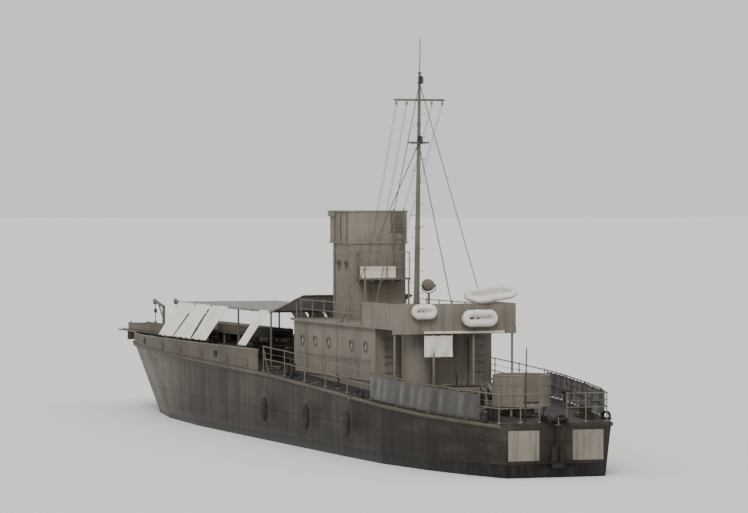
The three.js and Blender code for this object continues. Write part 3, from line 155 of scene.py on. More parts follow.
def shift(x: float = 0, y: float = 0, z: float = 0) -> Vector:
    """A move forward, to port and up, by metres of the real craft."""
    return Vector((x, y, z)) * SCALE


def about(middle: float, half: float) -> Pair:
    """The range that reaches a half width to each side of its middle."""
    return middle - half, middle + half


def corners(a: Pair, b: Pair) -> list[Pair]:
    """The corners of a rectangle from its two ranges, in order round it."""
    return [(a[0], b[0]), (a[1], b[0]), (a[1], b[1]), (a[0], b[1])]


def row(first: float, step: float, count: int) -> list[float]:
    """Evenly spaced places from the first one on."""
    return [first + step * i for i in range(count)]


def steps(count: int, offset: float = 0.0) -> list[float]:
    """Even steps round a full turn, in radians, the first one moved on by a share of a step."""
    return [math.tau * (i + offset) / count for i in range(count)]


# Modelling, as by hand: a primitive or a path at its place, shaped in edit mode, joined to its neighbours.


def active() -> Thing:
    """The object that the last operator made."""
    return bpy.context.view_layer.objects.active


def activate(*objects: Thing) -> None:
    """Selects only these objects and makes the first of them active.

    Args:
        objects: The objects.
    """
    bpy.ops.object.select_all(action="DESELECT")
    for obj in objects:
        obj.select_set(True)
    if objects:
        bpy.context.view_layer.objects.active = objects[0]


@contextmanager
def editing() -> Iterator[None]:
    """Opens the active mesh in edit mode with all of it selected, and closes it again.

    Returns:
        The context.
    """
    bpy.ops.object.mode_set(mode="EDIT")
    bpy.ops.mesh.select_all(action="SELECT")
    yield
    bpy.ops.object.mode_set(mode="OBJECT")


def settled() -> Thing:
    """Applies the transform of the primitive that was just added, and returns it."""
    bpy.ops.object.transform_apply(location=True, rotation=True, scale=True)
    return active()


def block(low: Vector, high: Vector, bevel: float) -> Thing:
    """Models a box between two corners, with its edges rounded off by a bevel in model metres.

    Args:
        low: The lowest corner.
        high: The highest corner.
        bevel: The bevel's width.

    Returns:
        The box.
    """
    bpy.ops.mesh.primitive_cube_add(size=1, location=(low + high) / 2, scale=high - low)
    made = settled()
    with editing():
        bpy.ops.mesh.bevel(offset=bevel, segments=1, affect="EDGES")
    return made


def slab(d: Pair, y: Pair, z: Pair, bevel: float) -> Thing:
    """Models a box from its ranges along, across and up the craft, with a bevel in model metres."""
    return block(at(min(d), min(y), min(z)), at(max(d), max(y), max(z)), bevel)


def rod(start: Vector, end: Vector, radius: float, sides: int = 10, tip: float | None = None) -> Thing:
    """Models a round bar between two points, tapered where a tip radius is given.

    Args:
        start: Centre of the first end.
        end: Centre of the other end.
        radius: Radius at the first end.
        sides: Faces round the bar.
        tip: Radius at the other end.

    Returns:
        The bar.
    """
    along = end - start
    bpy.ops.mesh.primitive_cone_add(
        vertices=sides,
        radius1=real(radius),
        radius2=real(radius if tip is None else tip),
        depth=along.length,
        location=(start + end) / 2,
        rotation=along.to_track_quat("Z", "Y").to_euler(),
    )
    made = settled()
    bpy.ops.object.shade_smooth_by_angle(angle=math.radians(50))
    return made


def studs(spots: Iterable[Vector], way: Vector, radius: float, sides: int = 6) -> list[Thing]:
    """Models bolts or short bars that all stand the same way on their spots."""
    return [rod(spot, spot + way, radius, sides) for spot in spots]


def ball(centre: Vector, radius: float, squash: float = 1.0, segments: int = 8) -> Thing:
    """Models a ball whose height is a share of its width.

    Args:
        centre: Its centre.
        radius: Its radius.
        squash: The height's share of the width.
        segments: Faces round it.

    Returns:
        The ball.
    """
    rings = max(6, segments // 2)
    scale = (1, 1, squash)
    bpy.ops.mesh.primitive_uv_sphere_add(
        segments=segments, ring_count=rings, radius=real(radius), location=centre, scale=scale
    )
    made = settled()
    bpy.ops.object.shade_smooth()
    return made


def ring(centre: Vector, axis: Vector, radius: float, wire: float, sides: int = 12, grain: int = 6) -> Thing:
    """Models a round ring.

    Args:
        centre: Its centre.
        axis: The direction of its axis.
        radius: From the axis to the middle of its wire.
        wire: The wire's radius.
        sides: Steps round the ring.
        grain: Faces round its wire.

    Returns:
        The ring.
    """
    bpy.ops.mesh.primitive_torus_add(
        major_radius=real(radius),
        minor_radius=real(wire),
        major_segments=sides,
        minor_segments=grain,
        location=centre,
        rotation=axis.to_track_quat("Z", "Y").to_euler(),
    )
    made = settled()
    bpy.ops.object.shade_smooth()
    return made


def pipe(points: Iterable[Vector], radius: float, closed: bool = False, sides: int = 1) -> Thing:
    """Models a tube along a path.

    Args:
        points: The path's points.
        radius: The tube's radius.
        closed: Whether the path comes back to its start.
        sides: The curve's bevel resolution: 4 faces round, and 2 more for each step.

    Returns:
        The tube, as a mesh.
    """
    bpy.ops.curve.primitive_nurbs_path_add()
    path = active()
    curve = path.data
    curve.splines.clear()
    places = list(points)
    spline = curve.splines.new("POLY")
    spline.points.add(len(places) - 1)
    for dot, place in zip(spline.points, places):
        dot.co = (*place, 1)
    spline.use_cyclic_u = closed
    curve.bevel_depth = real(radius)
    curve.bevel_resolution = sides
    curve.use_fill_caps = not closed
    activate(path)
    bpy.ops.object.convert(target="MESH")
    bpy.ops.object.shade_smooth_by_angle(angle=math.radians(60))
    return active()


def turned(profile: Sequence[Pair], centre: Vector, axis: Vector = UP, count: int = 24) -> Thing:
    """Models a turned piece by spinning a profile in edit mode.

    Args:
        profile: Radii and heights along the axis, from one end to the other.
        centre: The point on the axis at height 0.
        axis: The direction of the axis.
        count: Steps round the piece.

    Returns:
        The turned piece.
    """
    bpy.ops.mesh.primitive_plane_add(size=0.01)
    made = active()
    with editing():
        bpy.ops.mesh.delete(type="VERT")
    mesh = made.data
    mesh.vertices.add(len(profile))
    mesh.edges.add(len(profile) - 1)
    for dot, (radius, height) in zip(mesh.vertices, profile):
        dot.co = shift(radius, 0, height)
    for i, edge in enumerate(mesh.edges):
        edge.vertices = (i, i + 1)
    mesh.update()
    with editing():
        bpy.ops.mesh.spin(steps=count, angle=math.tau, center=(0, 0, 0), axis=(0, 0, 1))
        bpy.ops.mesh.select_all(action="SELECT")
        bpy.ops.mesh.remove_doubles(threshold=1e-5)
        bpy.ops.mesh.normals_make_consistent(inside=False)
    mesh.transform(Matrix.Translation(centre) @ axis.to_track_quat("Z", "Y").to_matrix().to_4x4())
    activate(made)
    bpy.ops.object.shade_smooth_by_angle(angle=math.radians(40))
    return made


def plate(outline: Sequence[Vector], thickness: Vector) -> Thing:
    """Models a flat plate from its corners in order, by filling them and extruding the face by a vector.

    Args:
        outline: Its corners.
        thickness: The vector.

    Returns:
        The plate.
    """
    bpy.ops.mesh.primitive_circle_add(vertices=len(outline), radius=1, fill_type="NGON")
    made = active()
    for dot, place in zip(made.data.vertices, outline):
        dot.co = place
    with editing():
        bpy.ops.mesh.extrude_region_move(TRANSFORM_OT_translate={"value": thickness})
        bpy.ops.mesh.select_all(action="SELECT")
        bpy.ops.mesh.normals_make_consistent(inside=False)
    return made


def cloth(columns: int, rows: int, place: Surface, thickness: float) -> tuple[Thing, float]:
    """Lays a sheet of cloth, measures it while it is one face thick, and then thickens it.

    Args:
        columns: Steps across.
        rows: Steps along.
        place: Gives a point for its shares of the width and of the length.
        thickness: In model metres, half to each side.

    Returns:
        The sheet, and the area of its middle face in model metres.
    """
    bpy.ops.mesh.primitive_grid_add(x_subdivisions=columns, y_subdivisions=rows, size=1)
    sheet = active()
    for dot in sheet.data.vertices:
        dot.co = place(dot.co.x + 0.5, dot.co.y + 0.5)
    bpy.ops.object.shade_smooth()
    area = sum(face.area for face in sheet.data.polygons)
    activate(sheet)
    wall = sheet.modifiers.new("thickness", "SOLIDIFY")
    wall.thickness = thickness
    wall.offset = 0
    bpy.ops.object.modifier_apply(modifier=wall.name)
    return sheet, area


def repeat(model: Thing, places: Iterable[Matrix]) -> Thing:
    """Copies a model, which is used up, to each place, each copy with its own mesh, and joins the copies.

    Args:
        model: What is copied.
        places: The place of each copy.

    Returns:
        The joined copies.
    """
    copies: list[Thing] = []
    for place in places:
        copy = model.copy()
        copy.data = model.data.copy()
        copy.data.transform(place)
        bpy.context.collection.objects.link(copy)
        copies.append(copy)
    bpy.data.objects.remove(model)
    return joined(copies)


def joined(objects: Sequence[Thing]) -> Thing:
    """Joins objects into the first of them.

    Args:
        objects: The objects.

    Returns:
        The joined object.
    """
    activate(*objects)
    if len(objects) > 1:
        bpy.ops.object.join()
    return active()


def finish_piece(
    parts: Thing | Sequence[Thing],
    name: str,
    finish: "Finish",
    slot: Slot | None = None,
    body: str = BODY,
    replaces: Sequence[str] = (),
) -> Thing:
    """Joins a piece, names it, gives it its material and lets it ride on its body.

    Args:
        parts: What it is made of.
        name: Its name.
        finish: The finish of its surface.
        slot: The record's slot for it, where that isn't the finish's own. Not used.
        body: The body that it rides on.
        replaces: The nodes that it stands for.

    Returns:
        The piece.
    """
    obj = parts if isinstance(parts, Thing) else joined(parts)
    obj.name = name
    obj.data.name = name
    obj.data.materials.clear()
    obj.data.materials.append(finish.material())
    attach(obj, body)
    if replaces:
        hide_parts(*replaces)
    LOG.info("made %s with %d faces", name, len(obj.data.polygons))
    return obj


# Finishes: procedural materials on Object coordinates.


class Graph:
    """A helper that wires one material's nodes."""

    def __init__(self, name: str) -> None:
        """Starts a material of a name, with a shader and object coordinates.

        Args:
            name: The material's name.
        """
        self.made = bpy.data.materials.new(name)
        self.made.use_nodes = True
        self.tree = self.made.node_tree
        self.shader = self.tree.nodes["Principled BSDF"]
        self.coords = self.tree.nodes.new("ShaderNodeTexCoord").outputs["Object"]

    def add(self, kind: str, values: dict[str, object] | None = None, **settings: object) -> bpy.types.Node:
        """Adds a node.

        Args:
            kind: The node's type.
            values: Its inputs' names, each with a constant or with the socket that is linked to it.
            settings: Its own properties.

        Returns:
            The node.
        """
        node = self.tree.nodes.new("ShaderNode" + kind)
        for key, value in settings.items():
            setattr(node, key, value)
        for key, value in (values or {}).items():
            self.feed(node.inputs[key], value)
        return node

    def feed(self, socket: Socket, value: object) -> None:
        """Links a socket to an input, or sets the input to a number, a vector or an opaque colour.

        Args:
            socket: The input.
            value: What it is linked or set to.
        """
        if isinstance(value, Socket):
            self.tree.links.new(value, socket)
        elif isinstance(value, tuple) and len(socket.default_value) > len(value):
            socket.default_value = (*value, 1)
        else:
            socket.default_value = value

    def noise(self, scale: Triple, size: float, detail: float = 4, rough: float = 0.55) -> Socket:
        """Noise on object coordinates that are scaled on each axis.

        Args:
            scale: Factor on each axis.
            size: The noise's scale.
            detail: Its detail.
            rough: Its roughness.

        Returns:
            The factor socket.
        """
        scaled = self.add("Mapping", {"Vector": self.coords, "Scale": scale}).outputs["Vector"]
        values = {"Vector": scaled, "Scale": size, "Detail": detail, "Roughness": rough}
        return self.add("TexNoise", values).outputs["Fac"]

    def patches(self, size: float, detail: float, low: float, high: float, rough: float = 0.55) -> Socket:
        """Even noise whose values from low to high are spread from 0 to 1."""
        return self.ramp(self.noise((1, 1, 1), size, detail, rough), low, high)

    def ramp(self, source: Socket, low: float, high: float) -> Socket:
        """Maps a range of a value to 0 to 1, clamped."""
        values = {"Value": source, "From Min": low, "From Max": high}
        return self.add("MapRange", values).outputs["Result"]

    def maths(self, operation: str, *values: object) -> Socket:
        """Works out a Math node's operation on sockets or numbers.

        Args:
            operation: The operation.
            values: The sockets or numbers, in the node's order.

        Returns:
            The result's socket.
        """
        node = self.add("Math", operation=operation)
        for socket, value in zip(node.inputs, values):
            self.feed(socket, value)
        return node.outputs[0]

    def times(self, a: object, b: object) -> Socket:
        """Multiplies two sockets or numbers."""
        return self.maths("MULTIPLY", a, b)

    def mix(self, share: object, a: object, b: object) -> Socket:
        """Mixes two colours, each a socket or a triple, from the first at a share of 0 to the second at 1.

        Args:
            share: The second colour's share, a socket or a number.
            a: The first colour.
            b: The second colour.

        Returns:
            The colour socket.
        """
        node = self.add("Mix", data_type="RGBA")
        for index, value in ((0, share), (6, a), (7, b)):
            self.feed(node.inputs[index], value)
        return node.outputs[2]

    def part(self, axis: str, output: str = "Object") -> Socket:
        """X, Y or Z of the object coordinates, or of another output such as the normal."""
        vector = self.add("TexCoord").outputs[output]
        return self.add("SeparateXYZ", {"Vector": vector}).outputs[axis]

    def wave(self, direction: str, scale: float, distortion: float = 0.0, fine: float = 1.0) -> Socket:
        """Sine bands along X, Y, Z or the diagonal.

        Args:
            direction: The node's bands_direction.
            scale: The bands' scale.
            distortion: How much they wander.
            fine: The scale of that.

        Returns:
            The factor socket.
        """
        values = {"Vector": self.coords, "Scale": scale, "Distortion": distortion, "Detail Scale": fine}
        return self.add("TexWave", values, bands_direction=direction, wave_profile="SIN").outputs["Fac"]

    def bump(self, height: Socket, distance: float, strength: float = 1.0) -> None:
        """Lays relief on the surface, over any that it already has.

        Args:
            height: The height's socket.
            distance: Metres that a height of 1 stands for.
            strength: Share of it that shows.
        """
        node = self.add("Bump", {"Distance": distance, "Strength": strength, "Height": height})
        before = self.shader.inputs["Normal"]
        if before.is_linked:
            self.feed(node.inputs["Normal"], before.links[0].from_socket)
        self.feed(before, node.outputs["Normal"])

    def finish(self, **values: object) -> None:
        """Sets or links the shader's inputs, whose names are written in lower case with low lines.

        Args:
            values: The inputs' names, each with a constant or a socket.
        """
        names = {name.lower().replace(" ", "_"): name for name in self.shader.inputs.keys()}
        for key, value in values.items():
            self.feed(self.shader.inputs[names[key]], value)


MADE: dict[str, bpy.types.Material] = {}


@dataclass(frozen=True)
class Finish:
    """A surface's finish, made into a material once."""

    name: str
    slot: Slot

    def material(self) -> bpy.types.Material:
        """The finish's material, wired when it is first asked for.

        Returns:
            The material.
        """
        if self.name not in MADE:
            g = Graph(self.name)
            self.wire(g)
            MADE[self.name] = g.made
        return MADE[self.name]

    def wire(self, g: Graph) -> None:
        """Wires the material's nodes in its graph."""
        raise NotImplementedError


@dataclass(frozen=True)
class Paint(Finish):
    """Ship's paint on steel plate: faded in patches, streaked down its sides, rusty where water lies."""

    colour: Triple
    faded: Triple
    streaks: float
    rusting: float
    rough: float = 0.62
    plates: float = 0.0  # relief of the plating between its frames, in metres
    stain: Triple = (0.045, 0.038, 0.031)
    rust: Triple = (0.16, 0.075, 0.035)
    frame_step: float = 0.62
    gloss: float = 0.16
    metallic: float = 0.05

    def topcoat(self, g: Graph) -> Socket:
        """The paint's colour with its fading, streaks and rust.

        Args:
            g: The material's graph.

        Returns:
            The colour socket.
        """
        colour = g.mix(g.patches(0.9, 5, 0.35, 0.68, 0.6), self.colour, self.faded)
        runs = g.ramp(g.noise((9, 9, 0.55), 1.0, 5, 0.65), 0.5, 0.74)
        upright = g.ramp(g.maths("ABSOLUTE", g.part("Z", "Normal")), 0.75, 0.2)
        colour = g.mix(g.times(g.times(runs, upright), self.streaks), colour, self.stain)
        weeps = g.ramp(g.noise((16, 16, 0.8), 1.0, 6, 0.7), 0.62, 0.74)
        rusty = g.maths("MAXIMUM", g.times(weeps, upright), g.patches(14, 8, 0.6, 0.72, 0.7))
        return g.mix(g.times(rusty, self.rusting), colour, self.rust)

    def relief(self, g: Graph) -> None:
        """Lays the plating's waves, which the bottom doesn't have, and the brush marks on the surface.

        Args:
            g: The material's graph.
        """
        if self.plates:
            wave = g.wave("X", 0.5 / self.frame_step, 2.5, 0.25)
            g.bump(g.times(wave, g.ramp(g.part("Z"), 0.0, 0.3)), self.plates)
        g.bump(g.noise((1, 1, 1), 40, 4, 0.6), 0.0012, 0.7)

    def wire(self, g: Graph) -> None:
        """Wires the topcoat, its relief and its sheen.

        Args:
            g: The material's graph.
        """
        g.finish(base_color=self.topcoat(g), specular_ior_level=self.gloss, metallic=self.metallic)
        self.relief(g)
        sheen = g.times(g.patches(6, 4, self.rough - 1, self.rough + 1), 0.25)
        g.finish(roughness=g.maths("ADD", sheen, self.rough - 0.12))


@dataclass(frozen=True)
class HullPaint(Paint):
    """The hull's own coats: antifouling below, a black boot top, grey sides, a dark deck and a wet line."""

    wash: float = 0.66  # how dark the broad runs down the sides are
    stain: Triple = (0.02, 0.0165, 0.0135)
    # the lighter tone of the painted light on the bow
    bow_light_tone: Triple = (0.3, 0.273, 0.231)
    plate_tone: Triple = (0.25, 0.23, 0.2)
    deck: Triple = (0.026, 0.024, 0.022)
    deck_worn: Triple = (0.05, 0.046, 0.04)
    boot: Triple = (0.01, 0.009, 0.0085)
    boot_dusty: Triple = (0.03, 0.027, 0.024)
    bottom: Triple = (0.12, 0.035, 0.025)
    weed: Triple = (0.06, 0.055, 0.03)
    boot_fore: float = 0.06
    boot_aft: float = 0.235
    aft_shade: float = 0.86  # painted shade: how much darker the sides are aft
    aft_shade_ends: Pair = (9.0, -7.0)
    bleached: float = 0.9  # painted light: how much lighter the bow is
    bleached_ends: Pair = (4.0, 10.5)
    # Light plate, dark plate, seam.
    seams: tuple[Triple, Triple, Triple] = ((0.25,) * 3, (0.75,) * 3, (0.0,) * 3)

    def sides(self, g: Graph, x: Socket, plates: bpy.types.Node) -> Socket:
        """The sides' colour: broad runs, plates and their seams, painted shade aft, painted light on the bow.

        Args:
            g: The material's graph.
            x: The place along the hull.
            plates: The brick node of the plating.

        Returns:
            The colour socket.
        """
        broad = g.ramp(g.noise((2.4, 2.4, 0.16), 1.0, 4, 0.6), 0.47, 0.64)
        colour = g.mix(g.times(broad, self.wash), self.topcoat(g), self.stain)
        colour = g.mix(g.times(plates.outputs["Color"], 0.16), colour, self.plate_tone)
        colour = g.mix(g.times(plates.outputs["Fac"], 0.55), colour, self.stain)
        # painted shade: the sides darkened towards the stern, in patches
        aft_shade_mask = g.times(g.ramp(x, *self.aft_shade_ends), g.ramp(g.noise((0.5, 1, 2), 1.4, 5), 0.1, 0.55))
        colour = g.mix(g.times(aft_shade_mask, self.aft_shade), colour, self.stain)
        # painted light: the bow lightened, in patches
        bow_light_mask = g.times(g.ramp(x, *self.bleached_ends), g.ramp(g.noise((1, 1, 2), 1.1, 5), 0.2, 0.6))
        return g.mix(g.times(bow_light_mask, self.bleached), colour, self.bow_light_tone)

    def wire(self, g: Graph) -> None:
        """Wires the sides, the deck, the grime at the water, the boot top and the bottom.

        Args:
            g: The material's graph.
        """
        z, x = g.part("Z"), g.part("X")
        place = g.add("CombineXYZ", {"X": x, "Y": z}).outputs[0]
        sizes = {"Vector": place, "Scale": 1.0, "Brick Width": 1.55, "Row Height": 0.62, "Mortar Size": 0.009}
        sizes |= dict(zip(("Color1", "Color2", "Mortar"), self.seams))
        plates = g.add("TexBrick", sizes, offset=0.5, squash=1.0)
        colour = self.sides(g, x, plates)
        tread = g.mix(g.patches(3.2, 6, 0.4, 0.66, 0.65), self.deck, self.deck_worn)
        colour = g.mix(g.ramp(g.part("Z", "Normal"), 0.7, 0.9), colour, tread)
        climb = g.maths("SUBTRACT", z, g.times(g.noise((5, 5, 1), 1.0, 4), 0.5))
        colour = g.mix(g.times(g.ramp(climb, 0.45, -0.2), 0.55), colour, self.stain)
        slope = (self.boot_fore - self.boot_aft) / real(LENGTH)
        level = g.maths("ADD", g.times(x, slope), (self.boot_fore + self.boot_aft) / 2)
        boot = g.mix(g.ramp(g.noise((4, 4, 1), 3, 5), 0.4, 0.8), self.boot, self.boot_dusty)
        colour = g.mix(g.ramp(g.maths("SUBTRACT", z, level), 0.004, -0.004), colour, boot)
        bottom = g.mix(g.patches(5, 6, 0.4, 0.7), self.bottom, self.weed)
        colour = g.mix(g.ramp(z, -0.05, -0.07), colour, bottom)
        self.relief(g)
        g.bump(g.maths("SUBTRACT", 1.0, plates.outputs["Fac"]), 0.004)
        rough = g.maths("SUBTRACT", self.rough, g.times(g.ramp(z, 0.3, 0.0), 0.25))
        g.finish(base_color=colour, roughness=rough, specular_ior_level=self.gloss, metallic=self.metallic)


@dataclass(frozen=True)
class Canvas(Finish):
    """Bleached canvas: a weave, sun bleach and dirt in its folds."""

    colour: Triple = (0.78, 0.745, 0.67)
    dirt: Triple = (0.42, 0.385, 0.33)
    dirty: float = 0.6

    def wire(self, g: Graph) -> None:
        """Wires the dirt, the threads, the soft creases and the nap.

        Args:
            g: The material's graph.
        """
        runs = g.times(g.ramp(g.noise((8, 8, 1), 1.0, 5, 0.6), 0.5, 0.8), 0.7)
        dirt = g.times(g.maths("MAXIMUM", g.patches(2.4, 6, 0.42, 0.75, 0.65), runs), self.dirty)
        for direction in "XYZ":
            g.bump(g.wave(direction, 90), 0.0006, 0.5)
        g.bump(g.noise((1, 1, 1), 9, 3), 0.006, 0.8)
        g.finish(base_color=g.mix(dirt, self.colour, self.dirt), roughness=0.92, sheen_weight=0.25)


@dataclass(frozen=True)
class Metal(Finish):
    """Bare metal: worn bright in places, dull and spotted in others."""

    colour: Triple
    dull: Triple
    rough: float = 0.42
    metallic: float = 0.85

    def wire(self, g: Graph) -> None:
        """Wires the wear and its fine relief.

        Args:
            g: The material's graph.
        """
        wear = g.patches(7, 7, 0.38, 0.68, 0.65)
        g.bump(g.noise((1, 1, 1), 60, 4), 0.0008)
        rough = g.maths("ADD", g.times(wear, 0.3), self.rough)
        g.finish(base_color=g.mix(wear, self.colour, self.dull), roughness=rough, metallic=self.metallic)


@dataclass(frozen=True)
class Fibre(Finish):
    """Laid rope and netting: slanting strands, tarred and dusty."""

    colour: Triple = (0.3, 0.24, 0.165)
    dark: Triple = (0.08, 0.062, 0.045)

    def wire(self, g: Graph) -> None:
        """Wires the strands and the dust on them.

        Args:
            g: The material's graph.
        """
        strands = g.wave("DIAGONAL", 40, 1.5)
        colour = g.mix(g.times(strands, g.patches(12, 5, 0.35, 0.7)), self.dark, self.colour)
        g.bump(strands, 0.003)
        g.finish(base_color=colour, roughness=0.95)


@dataclass(frozen=True)
class Wood(Finish):
    """Scrubbed wood: grain along the craft, with grey weathering."""

    colour: Triple = (0.33, 0.25, 0.17)
    grey: Triple = (0.2, 0.18, 0.15)
    dark: Triple = (0.1, 0.08, 0.06)

    def wire(self, g: Graph) -> None:
        """Wires the grain over weathered wood.

        Args:
            g: The material's graph.
        """
        grain = g.ramp(g.noise((1.5, 22, 22), 1.6, 6, 0.6), 0.35, 0.7)
        aged = g.mix(g.patches(4, 5, 0.35, 0.65), self.colour, self.grey)
        g.bump(grain, 0.002)
        g.finish(base_color=g.mix(grain, aged, self.dark), roughness=0.8)


@dataclass(frozen=True)
class Pane(Finish):
    """Thick dark glass of a port or a lamp."""

    colour: Triple = (0.02, 0.024, 0.026)
    smear: Triple = (0.2, 0.21, 0.2)

    def wire(self, g: Graph) -> None:
        """Wires the smears on the glass.

        Args:
            g: The material's graph.
        """
        smears = g.patches(12, 4, 0.4, 0.8)
        g.bump(g.noise((1, 1, 1), 30, 2), 0.0004)
        rough = g.maths("ADD", g.times(smears, 0.25), 0.06)
        colour = g.mix(g.times(smears, 0.35), self.colour, self.smear)
        g.finish(base_color=colour, roughness=rough, coat_weight=0.4)


@dataclass(frozen=True)
class Ground(Finish):
    """The studio's floor, a shade darker in wide soft patches."""

    colour: Triple

    def wire(self, g: Graph) -> None:
        """Wires the patches.

        Args:
            g: The material's graph.
        """
        darker = tuple(value * 0.9 for value in self.colour)
        patches = g.times(g.patches(0.05, 2, 0.3, 0.7), 0.05)
        g.finish(base_color=g.mix(patches, self.colour, darker), roughness=0.9)


HULL_PAINT = HullPaint(
    "hull_grey", Slot.HULL, (0.058, 0.0492, 0.0374), (0.095, 0.0811, 0.0623), 0.75, 0.4, plates=0.0035
)
SIDE_PAINT = Paint("side_grey", Slot.HULL, (0.085, 0.0724, 0.0552), (0.13, 0.1119, 0.0872), 0.7, 0.4)
HOUSE_PAINT = Paint(
    "house_grey", Slot.HOUSE, (0.165, 0.1455, 0.117), (0.235, 0.2095, 0.1705), 0.5, 0.3, plates=0.002
)
GEAR_PAINT = Paint("gear_grey", Slot.HOUSE, (0.12, 0.1052, 0.0828), (0.18, 0.1592, 0.1264), 0.3, 0.45)
PALE_PAINT = Paint("panel_grey", Slot.HULL, (0.17, 0.15, 0.12), (0.235, 0.209, 0.169), 0.6, 0.3)
DECK_PAINT = Paint("deck_grey", Slot.DECK, (0.036, 0.0318, 0.0258), (0.066, 0.0589, 0.0472), 0.2, 0.4, 0.8)
BOTTOM_PAINT = Paint("bottom_red", Slot.HULL, (0.12, 0.0347, 0.0231), (0.15, 0.0675, 0.0445), 0.2, 0.3, 0.8)
DARK_PAINT = Paint("black_paint", Slot.DARK, (0.014, 0.0121, 0.0107), (0.032, 0.027, 0.0223), 0.4, 0.5, 0.6)
WHITE_PAINT = Paint(
    "white_paint", Slot.CANVAS, (0.66, 0.5983, 0.4895), (0.74, 0.6755, 0.5563), 0.35, 0.15, 0.5
)
BRONZE = Metal("bronze", Slot.BRONZE, (0.42, 0.27, 0.12), (0.13, 0.1, 0.05), 0.35)
STEEL = Metal("worn_steel", Slot.STEEL, (0.32, 0.3, 0.27), (0.1, 0.08, 0.065))
WIRE = Metal("wire_rope", Slot.STEEL, (0.18, 0.165, 0.145), (0.06, 0.05, 0.042), 0.55, 0.6)
BRASS = Metal("dull_brass", Slot.BRONZE, (0.45, 0.34, 0.16), (0.16, 0.12, 0.06), 0.38)
WHITE_CANVAS = Canvas("white_canvas", Slot.CANVAS)
GREY_CANVAS = Canvas("grey_canvas", Slot.CANVAS, (0.17, 0.157, 0.135), (0.085, 0.076, 0.063), 0.7)
RAIL_CLOTH = Canvas("rail_cloth", Slot.CANVAS, (0.05, 0.044, 0.036), (0.019, 0.016, 0.0135), 0.85)
ROPE = Fibre("manila_rope", Slot.ROPE)
TARRED = Fibre("tarred_rope", Slot.ROPE, (0.13, 0.105, 0.075), (0.035, 0.028, 0.022))
WOOD = Wood("scrubbed_wood", Slot.DARK)
GLASS = Pane("dark_glass", Slot.STEEL)

# The finish of each CAD node that keeps its own shape, by the starts of the nodes' names. The longest one
# that fits counts.
NODE_FINISHES: dict[Finish, tuple[str, ...]] = {
    HULL_PAINT: ("hull",),
    SIDE_PAINT: ("rub_rail", "bow_bulwark", "propeller_guard"),
    BRONZE: ("propeller",),
    BOTTOM_PAINT: ("shaft_bracket", "rudder"),
    HOUSE_PAINT: (
        "deckhouse", "roof_shield", "tower", "conning_bridge", "stern_tub", "bow_tub", "vent_trunk",
    ),
    GEAR_PAINT: (
        "ramp", "cathead", "roof_rail", "signal_platform", "mast", "winch_frame", "guard_rail",
        "awning_frame", "searchlight",
    ),
    WHITE_PAINT: ("flag_locker",),
    WHITE_CANVAS: ("life_float", "awning"),
    STEEL: ("winch_drum",),
    DARK_PAINT: ("stern_fairlead", "stern_anchor"),
    RAIL_CLOTH: ("weather_cloth",),
    DECK_PAINT: ("hatch_lid",),
    TARRED: ("fender",),
}


def dress_nodes() -> None:
    """Gives every CAD node the material of its finish."""
    starts = {start: finish for finish, names in NODE_FINISHES.items() for start in names}
    for name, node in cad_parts.items():
        finish = starts[max((start for start in starts if name.startswith(start)), key=len)]
        node.data.materials.clear()
        node.data.materials.append(finish.material())
    LOG.info("gave %d nodes their finish", len(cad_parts))


@dataclass
class Studio:
    """The pale floor at the water's height, soft light, and the camera at the photograph's place."""

    # The camera's place in model metres, and what it looks along: degrees to starboard of the bow, and down.
    place: Triple = (-69.1, 23.3, 4.75)
    heading: float = 19.34
    down: float = 0.92
    lens: float = 174.0
    sensor: float = 36.0
    clip_end: float = 3000.0
    floor_size: float = 1600.0
    floor_drop: float = 0.002
    floor_colour: Triple = (0.8, 0.79, 0.77)
    sky_colour: Triple = (0.86, 0.87, 0.88)
    sky: float = 1.0
    # Each sun: its strength, the direction that it comes from and its width in degrees.
    suns: tuple[tuple[str, float, Triple, float], ...] = (
        ("key_light", 1.7, (-0.66, 0.36, 0.66), 24.0),
        ("fill_light", 0.25, (-0.8, 0.1, 0.5), 80.0),
    )

    def floor(self) -> None:
        """Lays the floor, a hair under the waterline."""
        bpy.ops.mesh.primitive_plane_add(size=self.floor_size, location=(0, 0, -self.floor_drop))
        made = active()
        made.name = "studio_floor"
        made.data.materials.append(Ground("studio_floor", Slot.DECK, self.floor_colour).material())

    def lights(self) -> None:
        """Sets the sky's even light, a soft key from the port quarter and a weak fill from astern."""
        world = bpy.data.worlds.new("studio_light")
        world.use_nodes = True
        shell = world.node_tree.nodes["Background"]
        shell.inputs["Color"].default_value = (*self.sky_colour, 1)
        shell.inputs["Strength"].default_value = self.sky
        bpy.context.scene.world = world
        for name, energy, place, spread in self.suns:
            turn = Vector(place).to_track_quat("Z", "Y").to_euler()
            bpy.ops.object.light_add(type="SUN", rotation=turn)
            lamp = active()
            lamp.name = name
            lamp.data.energy = energy
            lamp.data.angle = math.radians(spread)

    def camera(self) -> None:
        """Sets the camera where the photograph was taken from, drawn close to the craft."""
        turn, dip = math.radians(self.heading), math.radians(self.down)
        ahead = Vector((math.cos(turn) * math.cos(dip), -math.sin(turn) * math.cos(dip), -math.sin(dip)))
        bpy.ops.object.camera_add(location=self.place, rotation=ahead.to_track_quat("-Z", "Y").to_euler())
        camera = active()
        camera.name = "photo_camera"
        camera.data.lens = self.lens
        camera.data.sensor_width = self.sensor
        camera.data.clip_end = self.clip_end
        camera.data.dof.use_dof = False
        bpy.context.scene.camera = camera


